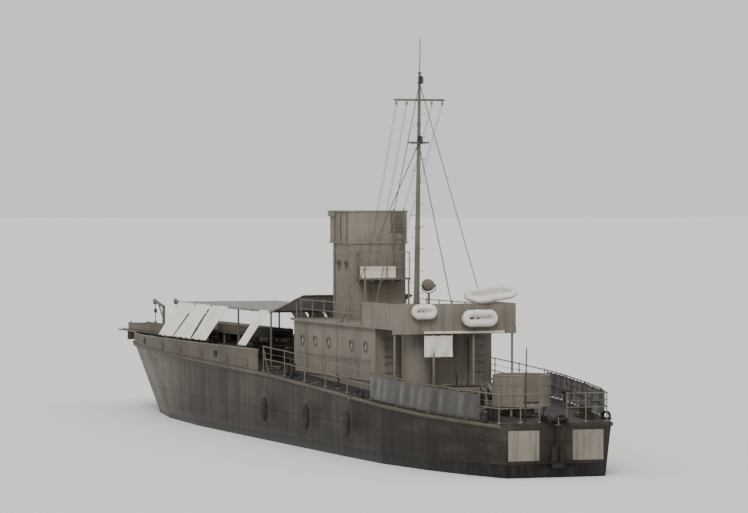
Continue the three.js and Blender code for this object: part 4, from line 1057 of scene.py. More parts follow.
@dataclass
class GuardRails:
    """Round stanchions with two rails and a wire along one side of the after deck, and round the stern."""

    side: Side
    posts: tuple[float, ...] = (0.25, 2.0, 4.5, 7.0, 9.4, 12.0, 14.5, 17.0, 19.5, 22.2)
    stern_posts: Pair = (0.5, 1.2)
    inset: float = 0.14
    height: float = 1.0
    levels: Pair = (0.5, 0.98)
    wire_level: float = 0.74
    wire_sag: float = 0.015
    post_radius: float = 0.024
    rail_radius: float = 0.02
    wire_radius: float = 0.009
    stay_run: float = 0.62
    stay_head: float = 0.9
    shoe: tuple[Pair, ...] = ((0, 0.044), (0.044, 0.044), (0.072, 0.016), (0.08, 0), (0, 0))

    def foot(self, d: float, y: float | None = None) -> Vector:
        """The foot of a post at a distance from the transom, on the rail's line or at a place across."""
        across = deck_half(d) - self.inset if y is None else y
        return at(d, self.side.value * across, deck_z(d))

    def stanchion(self, foot: Vector) -> list[Thing]:
        """One stanchion with its shoe, eyes and rounded head.

        Args:
            foot: The middle of its foot.

        Returns:
            Its pieces.
        """
        radius = self.post_radius
        made = [rod(foot, foot + shift(z=self.height), radius, tip=radius * 0.8)]
        made.append(turned(self.shoe, foot, count=10))
        for level in (*self.levels, self.wire_level):
            made.append(ball(foot + shift(z=level), radius * 1.6, 0.9))
        return made

    def line(self, feet: Sequence[Vector], level: float, radius: float, sag: float = 0.0) -> Thing:
        """Models a rail or a wire.

        Args:
            feet: The feet of the posts that it passes.
            level: Its height over them.
            radius: Its radius.
            sag: How far it hangs between two posts.

        Returns:
            The rail.
        """
        points = [feet[0]]
        for a, b in zip(feet, feet[1:]):
            points += [(a + b) / 2 - shift(z=sag), b]
        return pipe([p + shift(z=level) for p in points], radius)

    def build(self) -> None:
        """Builds the rails of this side, with the raking stay of the foremost stanchion."""
        feet = [self.foot(self.posts[0], y) for y in self.stern_posts] + [self.foot(d) for d in self.posts]
        head = feet[-1] + shift(z=self.stay_head)
        made = [rod(head, self.foot(self.posts[-1] - self.stay_run), self.rail_radius, 8)]
        for foot in feet:
            made += self.stanchion(foot)
        made += [self.line(feet, level, self.rail_radius) for level in self.levels]
        made.append(self.line(feet, self.wire_level, self.wire_radius, self.wire_sag))
        word = self.side.word
        finish_piece(made, f"rail_{word}", GEAR_PAINT, Slot.PIPE, replaces=[f"guard_rail_{word}"])


@dataclass
class WeatherCloth:
    """Canvas laced to the guard rails on the quarter, pulled into shallow folds by its lacing."""

    side: Side
    ends: Pair = (1.2, 9.3)
    foot: float = 0.04
    head: float = 0.93
    offset: float = 0.093  # inboard of the deck's edge
    rail_inset: float = 0.14
    fold: float = 0.03
    bay: float = 2.5
    scallop: float = 0.02
    eyelet_step: float = 0.45
    hem: float = 0.012
    lace: float = 0.009
    grain: tuple[int, int] = (150, 10)
    thickness: float = 0.006  # in model metres
    hem_steps: int = 90
    # The lacing at the head and the foot: its share up the cloth, and how high it passes the rail.
    laces: tuple[Pair, Pair] = ((1.0, 1.01), (0.0, 0.04))

    def along(self, share: float) -> float:
        """The distance from the transom at a share of the cloth's length."""
        return self.ends[0] + (self.ends[1] - self.ends[0]) * share

    def spot(self, along: float, up: float, out: float = 0.0) -> Vector:
        """A point of the cloth from its shares along and up, moved outboard.

        Args:
            along: The share along the cloth.
            up: The share up it.
            out: How far outboard it is moved.

        Returns:
            The point.
        """
        d = self.along(along)
        eyelet = (d - self.ends[0]) / self.eyelet_step % 1
        dip = (1 if up < 0.5 else -1) * self.scallop * math.sin(math.pi * eyelet) * abs(2 * up - 1) ** 6
        height = self.foot + (self.head - self.foot) * up + dip
        return at(d, self.side.value * (deck_half(d) - self.offset + out), deck_z(d) + height)

    def surface(self, u: float, v: float) -> Vector:
        """A point of the cloth with its folds, from its shares.

        Args:
            u: The share along.
            v: The share up.

        Returns:
            The point.
        """
        d = self.along(u)
        slack = math.sin(math.pi * v)
        ripple = math.sin(d * 4.3 + 1.3 * math.sin(d * 1.9)) * 0.6 + math.sin(d * 9.1 + 2 * v) * 0.4
        belly = 0.5 * math.sin(math.pi * (d % self.bay) / self.bay)
        return self.spot(u, v, self.fold * (ripple * (0.35 + slack) + belly * slack))

    def lacing(self) -> list[Thing]:
        """The lacing lines over the upper rail and round the lower one.

        Returns:
            The lines.
        """
        count = round((self.ends[1] - self.ends[0]) / self.eyelet_step)
        made: list[Thing] = []
        for up, level in self.laces:
            points: list[Vector] = []
            for i in range(count + 1):
                d = self.along(min(1.0, (i + 0.5) / count))
                over = at(d, self.side.value * (deck_half(d) - self.rail_inset), deck_z(d) + level)
                points += [self.spot(i / count, up, self.hem), over]
            made.append(pipe(points[:-1], self.lace))
        return made

    def build(self) -> None:
        """Builds the cloth, its hems and its lacing."""
        sheet, area = cloth(*self.grain, self.surface, self.thickness)
        word, count = self.side.word, self.hem_steps
        name = f"quarter_cloth_{word}"
        finish_piece(sheet, name, RAIL_CLOTH, replaces=[f"weather_cloth_{word}"])
        hems = [pipe([self.surface(i / count, v) for i in range(count + 1)], self.hem) for v in (0.02, 0.98)]
        hem = finish_piece(hems, f"{name}_hems", RAIL_CLOTH)
        lacing = finish_piece(self.lacing(), f"{name}_lacing", ROPE)


@dataclass
class Awning:
    """The foredeck awning: a sloping grey top on its frame, and white curtains hauled out to the bulwark."""

    back: Pair = (20.75, 5.7)
    knee: Pair = (24.6, 4.985)
    front: float = 38.0
    half: float = 2.35
    bays: tuple[float, ...] = (24.75, 29.2, 33.6, 37.85)
    ridge: float = 2.28
    sag: float = 0.085
    hem_drop: float = 0.075
    seam_step: float = 0.9
    grain: tuple[int, int] = (36, 150)
    panels: tuple[Pair, ...] = ((24.7, 25.9), (30.3, 32.6), (32.8, 35.1), (35.3, 37.6))
    panel_grain: tuple[int, int] = (14, 24)  # steps for each metre of width, and down
    eave: Pair = (2.37, 4.98)
    foot: Pair = (3.36, 3.56)
    lash_step: float = 0.55
    gather: float = 0.06  # share of a curtain's width that is drawn in at its middle
    billow: float = 0.07
    fold: float = 0.02
    scallop: float = 0.03
    thicknesses: Pair = (0.008, 0.006)  # of the top and of the curtains, in model metres

    def level(self, d: float) -> float:
        """The height of the frame's line under the canvas."""
        share = max(0.0, (self.knee[0] - d) / (self.knee[0] - self.back[0]))
        return self.knee[1] + (self.back[1] - self.knee[1]) * share

    def slack(self, d: float, y: float) -> float:
        """How far the canvas hangs under the frame's line, between its bars.

        Args:
            d: The distance from the transom.
            y: The place across.

        Returns:
            The drop.
        """
        stops = (self.back[0], *self.bays, self.front)
        for a, b in zip(stops, stops[1:]):
            if a <= d <= b:
                bay = math.sin(math.pi * (d - a) / (b - a)) ** 0.8
                return self.sag * bay * abs(math.sin(math.pi * y / self.ridge))
        return 0.0

    def top(self, u: float, v: float) -> Vector:
        """A point of the top from its shares across and along.

        Args:
            u: The share across.
            v: The share along.

        Returns:
            The point.
        """
        y = self.half * (2 * u - 1)
        d = self.back[0] + (self.front - self.back[0]) * v
        outside = max(0.0, abs(y) - self.ridge) / (self.half - self.ridge)
        ripple = 0.008 * math.sin(d * 5.1 + 2 * math.sin(y * 1.7)) + 0.006 * math.sin(d * 11.3 + y * 3)
        return at(d, y, self.level(d) - self.slack(d, y) - self.hem_drop * outside**1.5 + ripple)

    def seams(self) -> list[Thing]:
        """The doubled seams across the top, and the bolt rope round it.

        Returns:
            The seams and the bolt rope.
        """
        wide, long = self.grain
        length = self.front - self.back[0]
        across = [(i * self.seam_step / length, 0.011) for i in range(1, int(length / self.seam_step))]
        across += [(0.001, 0.02), (0.999, 0.02)]
        made = [pipe([self.top(i / wide, v) for i in range(wide + 1)], radius) for v, radius in across]
        made += [pipe([self.top(u, i / long) for i in range(long + 1)], 0.02) for u in (0.004, 0.996)]
        return made

    def curtain(self, side: Side, ends: Pair) -> Surface:
        """The surface of one side curtain.

        Args:
            side: The side that it hangs on.
            ends: Its edges, from the transom.

        Returns:
            A function of the shares across and down.
        """
        wide = ends[1] - ends[0]

        def place(u: float, v: float) -> Vector:
            """A point of the curtain, gathered at its middle, billowing, folded and scalloped at its foot.

            Args:
                u: The share across.
                v: The share down.

            Returns:
                The point.
            """
            d = (ends[0] + ends[1]) / 2 + (u - 0.5) * wide * (1 - self.gather * math.sin(math.pi * v))
            out = self.billow * math.sin(math.pi * v) * math.sin(math.pi * u) ** 0.5
            out += self.fold * math.sin(u * wide * 7 + 1.5 * math.sin(3 * v + ends[0])) * (0.3 + v)
            y = self.eave[0] + (self.foot[0] - self.eave[0]) * v + out * 0.8
            z = self.eave[1] + (self.foot[1] - self.eave[1]) * v + out * 0.6
            return at(d, side.value * y, z + self.scallop * math.sin(math.pi * (u * 3 % 1)) * v**8)

        return place

    def lashings(self, side: Side, place: Surface, wide: float) -> list[Thing]:
        """The lines that haul a curtain's foot to the bulwark, their eyelets, and the lacing of its head.

        Args:
            side: The side that it hangs on.
            place: The curtain's surface.
            wide: Its width.

        Returns:
            The lines and the eyelets.
        """
        made: list[Thing] = []
        count = max(2, round(wide / self.lash_step))
        hand = side.value
        for i in range(count + 1):
            foot, head = place(i / count, 0.985), place(i / count, 0.01)
            made.append(pipe([foot, foot + shift(0, hand * 0.03, -0.1)], 0.011))
            made.append(ring(foot, Vector((0, hand * 0.6, 0.8)), 0.03, 0.008, 8, 4))
            made.append(pipe([head, head + shift(0, hand * -0.06, -0.02)], 0.009))
        return made

    def build(self) -> None:
        """Builds the top, its seams and the side curtains."""
        sheet, area = cloth(*self.grain, self.top, self.thicknesses[0])
        finish_piece(sheet, "awning_top", GREY_CANVAS, replaces=["awning"])
        seams = finish_piece(self.seams(), "awning_seams", GREY_CANVAS)
        for side in Side:
            for number, ends in enumerate(self.panels, start=1):
                long = ends[1] - ends[0]
                place = self.curtain(side, ends)
                grain = (round(long * self.panel_grain[0]), self.panel_grain[1])
                panel, area = cloth(*grain, place, self.thicknesses[1])
                name = f"curtain_{side.word}_{number}"
                finish_piece(panel, name, WHITE_CANVAS)
                lines = finish_piece(self.lashings(side, place, long), f"{name}_lashings", ROPE)


@dataclass
class LifeFloat:
    """A canvas-covered oval float with lashings, a grab line in bights and a slatted floor."""

    name: str
    long: float
    wide: float
    tube: float
    place: Triple  # distance from the transom, side and height
    turn: Triple  # degrees about X, then Y, then Z
    step: float = 0.36  # between bands
    line: float = 0.009  # radius of the bands' edges and of the grab line
    bight_steps: int = 6
    # The floor's slats along and across: their shares of the width and length.
    slats: tuple[float, ...] = (-0.8, -0.4, 0.0, 0.4, 0.8)
    bearers: tuple[float, ...] = (-0.5, -0.17, 0.17, 0.5)

    def outline(self, radius: float, count: int) -> list[Vector]:
        """Evenly spaced points of an oval about the float's own centre.

        Args:
            radius: The radius of its round ends.
            count: How many points.

        Returns:
            The points, in model metres.
        """
        half = (self.long - self.wide) / 2
        straight, bend = 2 * half, math.pi * radius
        points: list[Vector] = []
        for i in range(count):
            way, s = divmod(2 * (straight + bend) * i / count, straight + bend)
            hand = -1 if way else 1
            if s < straight:
                x, y = s - half, -radius
            else:
                turn = (s - straight) / radius - math.pi / 2
                x, y = half + radius * math.cos(turn), radius * math.sin(turn)
            points.append(shift(x * hand, y * hand))
        return points

    def lashings(self, count: int) -> list[Thing]:
        """A number of canvas bands sewn round the tube.

        Args:
            count: The number.

        Returns:
            The bands.
        """
        middle = self.outline(self.wide / 2 - self.tube, count)
        ways = [middle[(i + 1) % count] - middle[i - 1] for i in range(count)]
        return [ring(spot, way, self.tube, self.line, 16, 4) for spot, way in zip(middle, ways)]

    def grab_line(self, count: int) -> Thing:
        """The grab line, in a bight between each two of a number of lashings.

        Args:
            count: The number of lashings.

        Returns:
            The line.
        """
        fine = self.bight_steps
        points: list[Vector] = []
        for i, spot in enumerate(self.outline(self.wide / 2, count * fine)):
            dip = math.sin(math.pi * (i % fine) / fine)
            points.append(spot * (1 - 0.02 * dip) + shift(z=-0.5 * self.tube * dip))
        return pipe(points, self.line, closed=True)

    def floor(self) -> list[Thing]:
        """The slatted floor, hung inside the tube.

        Returns:
            The slats and their bearers.
        """
        ends: list[tuple[Vector, Vector]] = []
        for share in self.slats:
            y = share * max(self.wide / 2 - 2 * self.tube, 0.05)
            reach = (self.long / 2 - self.tube * 1.5) * (1 - 0.12 * abs(share))
            ends.append((shift(-reach, y - 0.03, -0.02), shift(reach, y + 0.03, 0.01)))
        reach = self.wide / 2 - self.tube * 1.3
        for share in self.bearers:
            x = share * self.long * 0.8
            ends.append((shift(x - 0.035, -reach, -0.045), shift(x + 0.035, reach, -0.02)))
        return [block(low, high, 0.003) for low, high in ends]

    def build(self) -> None:
        """Builds the float and turns it into its place."""
        middle = self.wide / 2 - self.tube
        count = round((2 * (self.long - self.wide) + math.tau * middle) / self.step)
        tube = pipe(self.outline(middle, 56), self.tube, closed=True, sides=4)
        pieces = [
            (tube, "tube", WHITE_CANVAS, [self.name]),
            (joined(self.lashings(count)), "lashings", WHITE_CANVAS, []),
            (self.grab_line(count), "grab_line", ROPE, []),
            (joined(self.floor()), "floor", WHITE_PAINT, []),
        ]
        turn = Matrix.Identity(4)
        for degrees, axis in zip(self.turn, "XYZ"):
            turn = Matrix.Rotation(math.radians(degrees), 4, axis) @ turn
        whole = Matrix.Translation(at(*self.place)) @ turn
        for piece, word, finish, replaces in pieces:
            piece.data.transform(whole)
            finish_piece(piece, f"{self.name}_{word}", finish, replaces=replaces)


FLOATS = [
    LifeFloat("life_float_port", 1.0, 0.58, 0.13, (9.62, 1.25, 5.37), (90, 0, 90)),
    LifeFloat("life_float_centre", 1.4, 0.66, 0.15, (9.58, -0.9, 5.11), (90, 0, 90)),
    LifeFloat("life_float_upper", 2.1, 1.25, 0.125, (10.27, -1.6, 5.99), (-16, 8, 98)),
    LifeFloat("life_float_starboard", 1.75, 1.1, 0.17, (19.3, -1.75, 5.2), (0, 0, 0)),
]


@dataclass
class Fender:
    """A rope fender, plaited over its core, hung from the deck by a lanyard."""

    side: Side
    word: str
    d: float
    low: float = 0.75
    high: float = 1.75
    radius: float = 0.15
    out: float = 0.26
    core_steps: int = 22
    plump: float = 0.38  # the less it is, the blunter the ends
    strands: int = 6
    strand_steps: int = 30
    strand_radius: float = 0.014
    winds: float = 1.3  # turns of a strand round the whole core
    ends: Pair = (0.03, 0.97)  # shares of the height between which the strands run
    # The lanyard's way in from the deck's edge: its place outboard of it, and over the deck.
    lanyard_way: tuple[Pair, ...] = ((0.2, -0.25), (0.11, -0.01), (-0.02, 0.03), (-0.3, 0.035))

    def reach(self, share: float) -> float:
        """The core's radius at a share of its height."""
        return self.radius * math.sin(math.pi * share) ** self.plump

    def plait(self) -> list[Thing]:
        """The turned core, and the strands that wind round it both ways.

        Returns:
            The core and the strands.
        """
        centre = at(self.d, self.side.value * (deck_half(self.d) + self.out), self.low)
        tall = self.high - self.low
        shares = [i / self.core_steps for i in range(1, self.core_steps)]
        core = [(0.0, 0.0), *((self.reach(share) * 0.9, tall * share) for share in shares), (0.0, tall)]
        made = [turned(core, centre, count=20)]
        for hand in (-1, 1):
            for start in steps(self.strands):
                points: list[Vector] = []
                for i in range(self.strand_steps + 1):
                    share = self.ends[0] + (self.ends[1] - self.ends[0]) * i / self.strand_steps
                    angle = hand * share * self.winds * math.tau + start
                    reach = self.reach(share) * 0.93
                    x, y = reach * math.cos(angle), reach * math.sin(angle)
                    points.append(centre + shift(x, y, tall * share))
                made.append(pipe(points, self.strand_radius))
        return made

    def lanyard(self) -> list[Thing]:
        """The rope over the deck's edge to an eye in the deck.

        Returns:
            The rope and its two eyes.
        """
        half, height, hand = deck_half(self.d), deck_z(self.d), self.side.value
        top = at(self.d, hand * (half + self.out), self.high)
        route = [top, *(at(self.d, hand * (half + out), height + up) for out, up in self.lanyard_way)]
        made = [pipe(route, 0.02)]
        made.append(ring(top + shift(z=0.05), ALONG, 0.05, 0.016))
        made.append(ring(route[-1], ALONG, 0.045, 0.015))
        return made

    def build(self) -> None:
        """Builds the fender."""
        node = f"fender_{self.side.word}_{self.word}"
        finish_piece(self.plait(), node + "_plait", TARRED, replaces=[node])
        finish_piece(self.lanyard(), node + "_lanyard", ROPE)


FENDERS = [
    Fender(Side.PORT, "aft", 11.0),
    Fender(Side.PORT, "mid", 15.7),
    Fender(Side.PORT, "fore", 20.9),
    Fender(Side.STARBOARD, "aft", 13.2),
    Fender(Side.STARBOARD, "fore", 20.9),
]


@dataclass
class Searchlight:
    """A searchlight on its stand: ribbed drum, rim, glass, yoke and hand grips."""

    d: float = 16.9
    y: float = -1.6
    roof: float = 4.8
    trunnion: float = 6.15
    radius: float = 0.22
    rim: float = 0.24
    deep: float = 0.34
    ribs: int = 4
    yoke_gap: float = 0.05
    arm_drop: Pair = (0.2, 0.3)  # of the yoke's bend and of its foot, under the trunnions
    grip: tuple[Pair, ...] = ((0.14, -0.1), (0.2, -0.1), (0.2, 0.1), (0.14, 0.1))

    def lamp(self, centre: Vector) -> list[Thing]:
        """The ribbed drum, the yoke's arms and the grips.

        Args:
            centre: The drum's middle, at the height of the trunnions.

        Returns:
            The lamp's pieces.
        """
        r, rim, deep = self.radius, self.rim, self.deep
        drum = [(0, deep * 0.55), (r * 0.5, deep * 0.5), (r * 0.85, deep * 0.36)]
        for z in row(deep * 0.3, -deep * 0.14, self.ribs):
            drum += [(r * 0.93, z), (r * 0.98, z - deep * 0.03), (r * 0.93, z - deep * 0.06)]
        drum += [(rim, -deep * 0.34), (rim, -deep * 0.46), (rim * 0.9, -deep * 0.48)]
        made = [turned([*drum, (rim * 0.86, -deep * 0.38), (0, -deep * 0.3)], centre, -ALONG, 28)]
        for side in (-1, 1):
            out, (bend, foot) = shift(y=side * (r + self.yoke_gap)), self.arm_drop
            made.append(rod(centre + out * 0.8, centre + out * 1.12, 0.035, 12))
            arm = [centre + out, centre + out - shift(z=bend), centre + shift(y=side * 0.06, z=-foot)]
            made.append(pipe(arm, 0.022, sides=2))
        made.append(pipe([centre + shift(x, y, 0.04) for x, y in self.grip], 0.012))
        return made

    def build(self) -> None:
        """Builds the lamp, its glass and its stand."""
        centre = at(self.d, self.y, self.trunnion)
        tall = self.trunnion - self.roof - 0.28
        stand = [(0, 0), (0.15, 0), (0.15, 0.024), (0.07, 0.06), (0.056, 0.1), (0.048, tall - 0.04)]
        stand += [(0.08, tall - 0.02), (0.08, tall), (0, tall)]
        made = [*self.lamp(centre), turned(stand, at(self.d, self.y, self.roof), count=16)]
        finish_piece(made, "searchlight_lamp", GEAR_PAINT, Slot.PIPE, replaces=["searchlight"])
        rim, deep = self.rim, self.deep
        pane = [(0, -deep * 0.4), (rim * 0.5, -deep * 0.385), (rim * 0.87, -deep * 0.34), (0, -deep * 0.33)]
        finish_piece(turned(pane, centre, -ALONG, 28), "searchlight_glass", GLASS)


def port_light(centre: Vector, outward: Vector, r: float) -> tuple[Thing, Thing]:
    """Models a round port: its flanged rim with bolts and a brow, and its glass.

    Args:
        centre: The middle of the port on the wall's face.
        outward: The wall's normal.
        r: The glass's radius.

    Returns:
        The rim and the glass.
    """
    side = outward.cross(UP).normalized()

    def on_face(turn: float, reach: float) -> Vector:
        """A place on the wall at an angle and at some radii of the glass."""
        return centre + (side * math.cos(turn) + UP * math.sin(turn)) * real(r * reach)

    rim = [(r * 0.98, 0.002), (r * 1.34, 0.002), (r * 1.36, r * 0.1), (r * 1.16, r * 0.14)]
    rim += [(r * 1.1, r * 0.24), (r, r * 0.24), (r * 0.98, 0.002)]
    pieces = [turned(rim, centre, outward, 20)]
    pieces += studs([on_face(turn, 1.25) for turn in steps(8, 0.5)], outward * real(r * 0.2), r * 0.08)
    ahead = outward * real(r * 0.22)
    brow = [on_face(turn, 1.5) + ahead for turn in map(math.radians, row(20, 17.5, 9))]
    pieces.append(pipe(brow, r * 0.09))
    pane = [(0, r * 0.09), (r * 0.6, r * 0.085), (r * 0.99, r * 0.06), (0, 0.004)]
    return joined(pieces), turned(pane, centre, outward, 20)


def port_lights(name: str, spots: Iterable[tuple[Vector, Vector, float]], depth: float = 0.0) -> None:
    """Builds the round ports of a wall.

    Args:
        name: What they belong to.
        spots: The middle, the wall's normal and the glass's radius of each.
        depth: How far the glass lies behind the wall's face.
    """
    rims: list[Thing] = []
    panes: list[Thing] = []
    for centre, outward, radius in spots:
        rim, pane = port_light(centre, outward, radius)
        pane.data.transform(Matrix.Translation(outward * real(-depth)))
        rims.append(rim)
        panes.append(pane)
    finish_piece(rims, f"{name}_port_rims", GEAR_PAINT)
    finish_piece(panes, f"{name}_port_glass", GLASS)


def hand_wheel(centre: Vector, axis: Vector, radius: float) -> list[Thing]:
    """Models a hand wheel with four spokes and its hub.

    Args:
        centre: Its centre.
        axis: The direction of its axis.
        radius: The rim's radius.

    Returns:
        The wheel's pieces.
    """
    across = axis.orthogonal().normalized()
    made = [ring(centre, axis, radius, radius * 0.1, 20)]
    for arm in (across, axis.cross(across).normalized()):
        reach = arm * real(radius)
        made.append(rod(centre - reach, centre + reach, radius * 0.07, 6))
    made.append(rod(centre - axis * real(radius * 0.35), centre + axis * real(radius * 0.2), radius * 0.16))
    return made


def rope_coil(centre: Vector, radius: float, line: float = 0.022, turns: int = 6, layers: int = 3) -> Thing:
    """Models a coil of rope laid down flat in a rising spiral.

    Args:
        centre: The middle of its foot.
        radius: Its outer radius.
        line: The rope's radius.
        turns: Turns in one layer.
        layers: Layers over each other.

    Returns:
        The coil.
    """
    points: list[Vector] = []
    per_turn = 20
    count = turns * per_turn
    for layer in range(layers):
        for i in range(count):
            turn, share = math.tau * i / per_turn, i / count
            reach = radius - line * 2 * turns * (share if layer % 2 == 0 else 1 - share)
            x = reach * math.cos(turn) * (1 + 0.012 * math.sin(3 * turn + layer))
            points.append(centre + shift(x, reach * math.sin(turn), line * (1 + 1.8 * layer)))
    return pipe(points, line)


@dataclass
class HullDressing:
    """What is welded and bolted to the hull: blank transom panels, chocks, cap rail, vent mouths, coils."""

    panel_y: Pair = (0.62, 1.74)
    panel_z: Pair = (0.58, 1.6)
    panel_thick: float = 0.02
    bulwark_aft: float = 22.6
    bulwark_top: Pair = (3.5, 3.38)  # at its after end and at the stem
    bulwark_inset: float = 0.035
    cap_step: float = 0.6
    chocks: tuple[float, ...] = (1.0, 10.4, 18.6)
    horn: tuple[Pair, ...] = ((0.3, 0.04), (0.32, 0.16), (0.2, 0.24), (0.1, 0.24))
    pipes: Pair = (28.3, 40.4)
    pipe_lip: Pair = (0.2, 0.12)  # half length and half height
    pipe_rim: float = 0.035
    ports: tuple[float, ...] = (24.2, 27.0, 30.6, 33.9, 37.0)
    port_reach: float = 0.3
    port_tall: float = 0.24
    vents: tuple[Pair, ...] = (
        (3.6, 2.35), (6.4, -2.95), (13.6, 3.2), (17.2, -3.2), (28.4, 2.9), (35.0, -2.9), (38.9, 2.6),
    )
    vent_mouth: tuple[Pair, ...] = ((0.045, 0.0), (0.065, -0.06), (0.06, -0.062), (0.04, -0.005))
    vent_flange: tuple[Pair, ...] = ((0, 0.04), (0.085, 0.04), (0.1, 0.03), (0.1, 0), (0, 0))
    cap: tuple[Pair, ...] = ((0, 0.024), (0.06, 0.024), (0.09, 0.016), (0.09, 0), (0, 0))
    caps: tuple[Pair, ...] = (
        (4.2, 0.2), (7.3, 1.9), (13.0, -3.05), (16.4, 3.1),
        (21.6, 2.6), (24.1, 2.2), (29.6, -2.3), (36.4, 1.9),
    )
    # Each coil's distance, place across and radius.
    coils: tuple[Triple, ...] = (
        (2.2, -1.95, 0.34), (9.9, 2.95, 0.27), (21.2, -2.75, 0.3), (39.9, -2.2, 0.34), (23.3, 2.6, 0.3),
    )

    def top_of_bulwark(self, d: float) -> float:
        """The height of the bulwark's top edge."""
        share = (d - self.bulwark_aft) / (LENGTH - self.bulwark_aft)
        return self.bulwark_top[0] + (self.bulwark_top[1] - self.bulwark_top[0]) * share

    def panels(self) -> None:
        """The two blank panels on the transom, each welded round its edge."""
        for side in Side:
            y, z = (side.value * self.panel_y[0], side.value * self.panel_y[1]), self.panel_z
            bead = pipe([at(-0.004, *corner) for corner in corners(y, z)], 0.014, closed=True)
            face = slab((-self.panel_thick, 0.0), y, z, 0.004)
            finish_piece([face, bead], f"transom_panel_{side.word}", PALE_PAINT)

    def chock(self, d: float, side: Side) -> list[Thing]:
        """An open chock at the deck's edge.

        Args:
            d: Its distance from the transom.
            side: Its side.

        Returns:
            Its pieces.
        """
        y, z = side.value * (deck_half(d) - 0.06), deck_z(d)
        made = [slab(about(d, 0.34), about(y, 0.07), (z - 0.01, z + 0.06), 0.006)]
        for hand in (-1, 1):
            made.append(pipe([at(d + hand * ahead, y, z + up) for ahead, up in self.horn], 0.05, sides=2))
        return made

    def mooring_pipe(self, d: float, side: Side) -> list[Thing]:
        """The rounded lip of a mooring pipe through the bulwark, and a dark plate in its opening as painted
        shade.

        Args:
            d: Its distance from the transom.
            side: Its side.

        Returns:
            The lip and the dark plate of painted shade.
        """
        y = side.value * (deck_half(d) - 0.02)
        z = (deck_z(d) + self.top_of_bulwark(d)) / 2
        long, tall = self.pipe_lip
        lip = [at(d + long * math.cos(turn), y, z + tall * math.sin(turn)) for turn in steps(20)]
        # painted shade: a dark plate stands in the pipe's opening
        long, tall = long - 0.02, tall - 0.02
        inside = [at(d + long * math.cos(turn), y, z + tall * math.sin(turn)) for turn in steps(16)]
        return [pipe(lip, self.pipe_rim, closed=True, sides=2), plate(inside, shift(y=side.value * 0.012))]

    def freeing_port(self, d: float, side: Side) -> list[Thing]:
        """The frame and hinged flap of a freeing port low in the bulwark.

        Args:
            d: Its distance from the transom.
            side: Its side.

        Returns:
            The frame, the flap and its hinges.
        """
        hand, reach, tall = side.value, self.port_reach, self.port_tall
        y, z = hand * deck_half(d), deck_z(d) + 0.1
        slope = (deck_half(d + reach) - deck_half(d - reach)) * hand / 2
        edge = [at(d + a * reach, y + a * slope, z + b) for a, b in corners((-1, 1), (0, tall))]
        flap = [corner.lerp(at(d, y, z + tall / 2), 0.06) for corner in edge]
        made = [pipe(edge, 0.016, closed=True), plate(flap, shift(y=hand * 0.014))]
        for share in (0.2, 0.8):
            made.append(rod(edge[3].lerp(edge[2], share), edge[0].lerp(edge[1], share), 0.014, 6))
        return made

    def cap_rail(self, side: Side) -> Thing:
        """The half-round bar on the bulwark's top edge.

        Args:
            side: Its side.

        Returns:
            The bar.
        """
        count = math.ceil((LENGTH - self.bulwark_aft) / self.cap_step)
        stops = [*row(self.bulwark_aft, self.cap_step, count), LENGTH]
        across = [side.value * (deck_half(d) - self.bulwark_inset) for d in stops]
        return pipe([at(d, y, self.top_of_bulwark(d)) for d, y in zip(stops, across)], 0.038, sides=2)

    def deck_gear(self) -> None:
        """Mouths and flanges of the tank vents, filler caps and coils of rope on deck."""
        mouths: list[Thing] = []
        for d, y in self.vents:
            foot = at(d, y, deck_z(d))
            mouths.append(turned(self.vent_mouth, foot + shift(0.18, 0, 0.37), count=14))
            mouths.append(turned(self.vent_flange, foot, count=14))
        finish_piece(mouths, "tank_vent_mouths", GEAR_PAINT, Slot.PIPE)
        cap = turned(self.cap, Vector((0, 0, 0)), count=12)
        caps = repeat(cap, [Matrix.Translation(at(d, y, deck_z(d))) for d, y in self.caps])
        finish_piece(caps, "filler_caps", BRASS)
        coils = [rope_coil(at(d, y, deck_z(d)), radius) for d, y, radius in self.coils]
        finish_piece(coils, "rope_coils", ROPE)

    def build(self) -> None:
        """Builds everything on the hull."""
        self.panels()
        for name, finish, make, places in (
            ("deck_chocks", DARK_PAINT, self.chock, self.chocks),
            # the mooring pipes' dark plates are painted shade in their openings
            ("mooring_pipes", DARK_PAINT, self.mooring_pipe, self.pipes),
            ("freeing_ports", SIDE_PAINT, self.freeing_port, self.ports),
        ):
            finish_piece([part for side in Side for d in places for part in make(d, side)], name, finish)
        for side in Side:
            finish_piece(self.cap_rail(side), f"bulwark_cap_{side.word}", GEAR_PAINT, Slot.HULL)
        self.deck_gear()


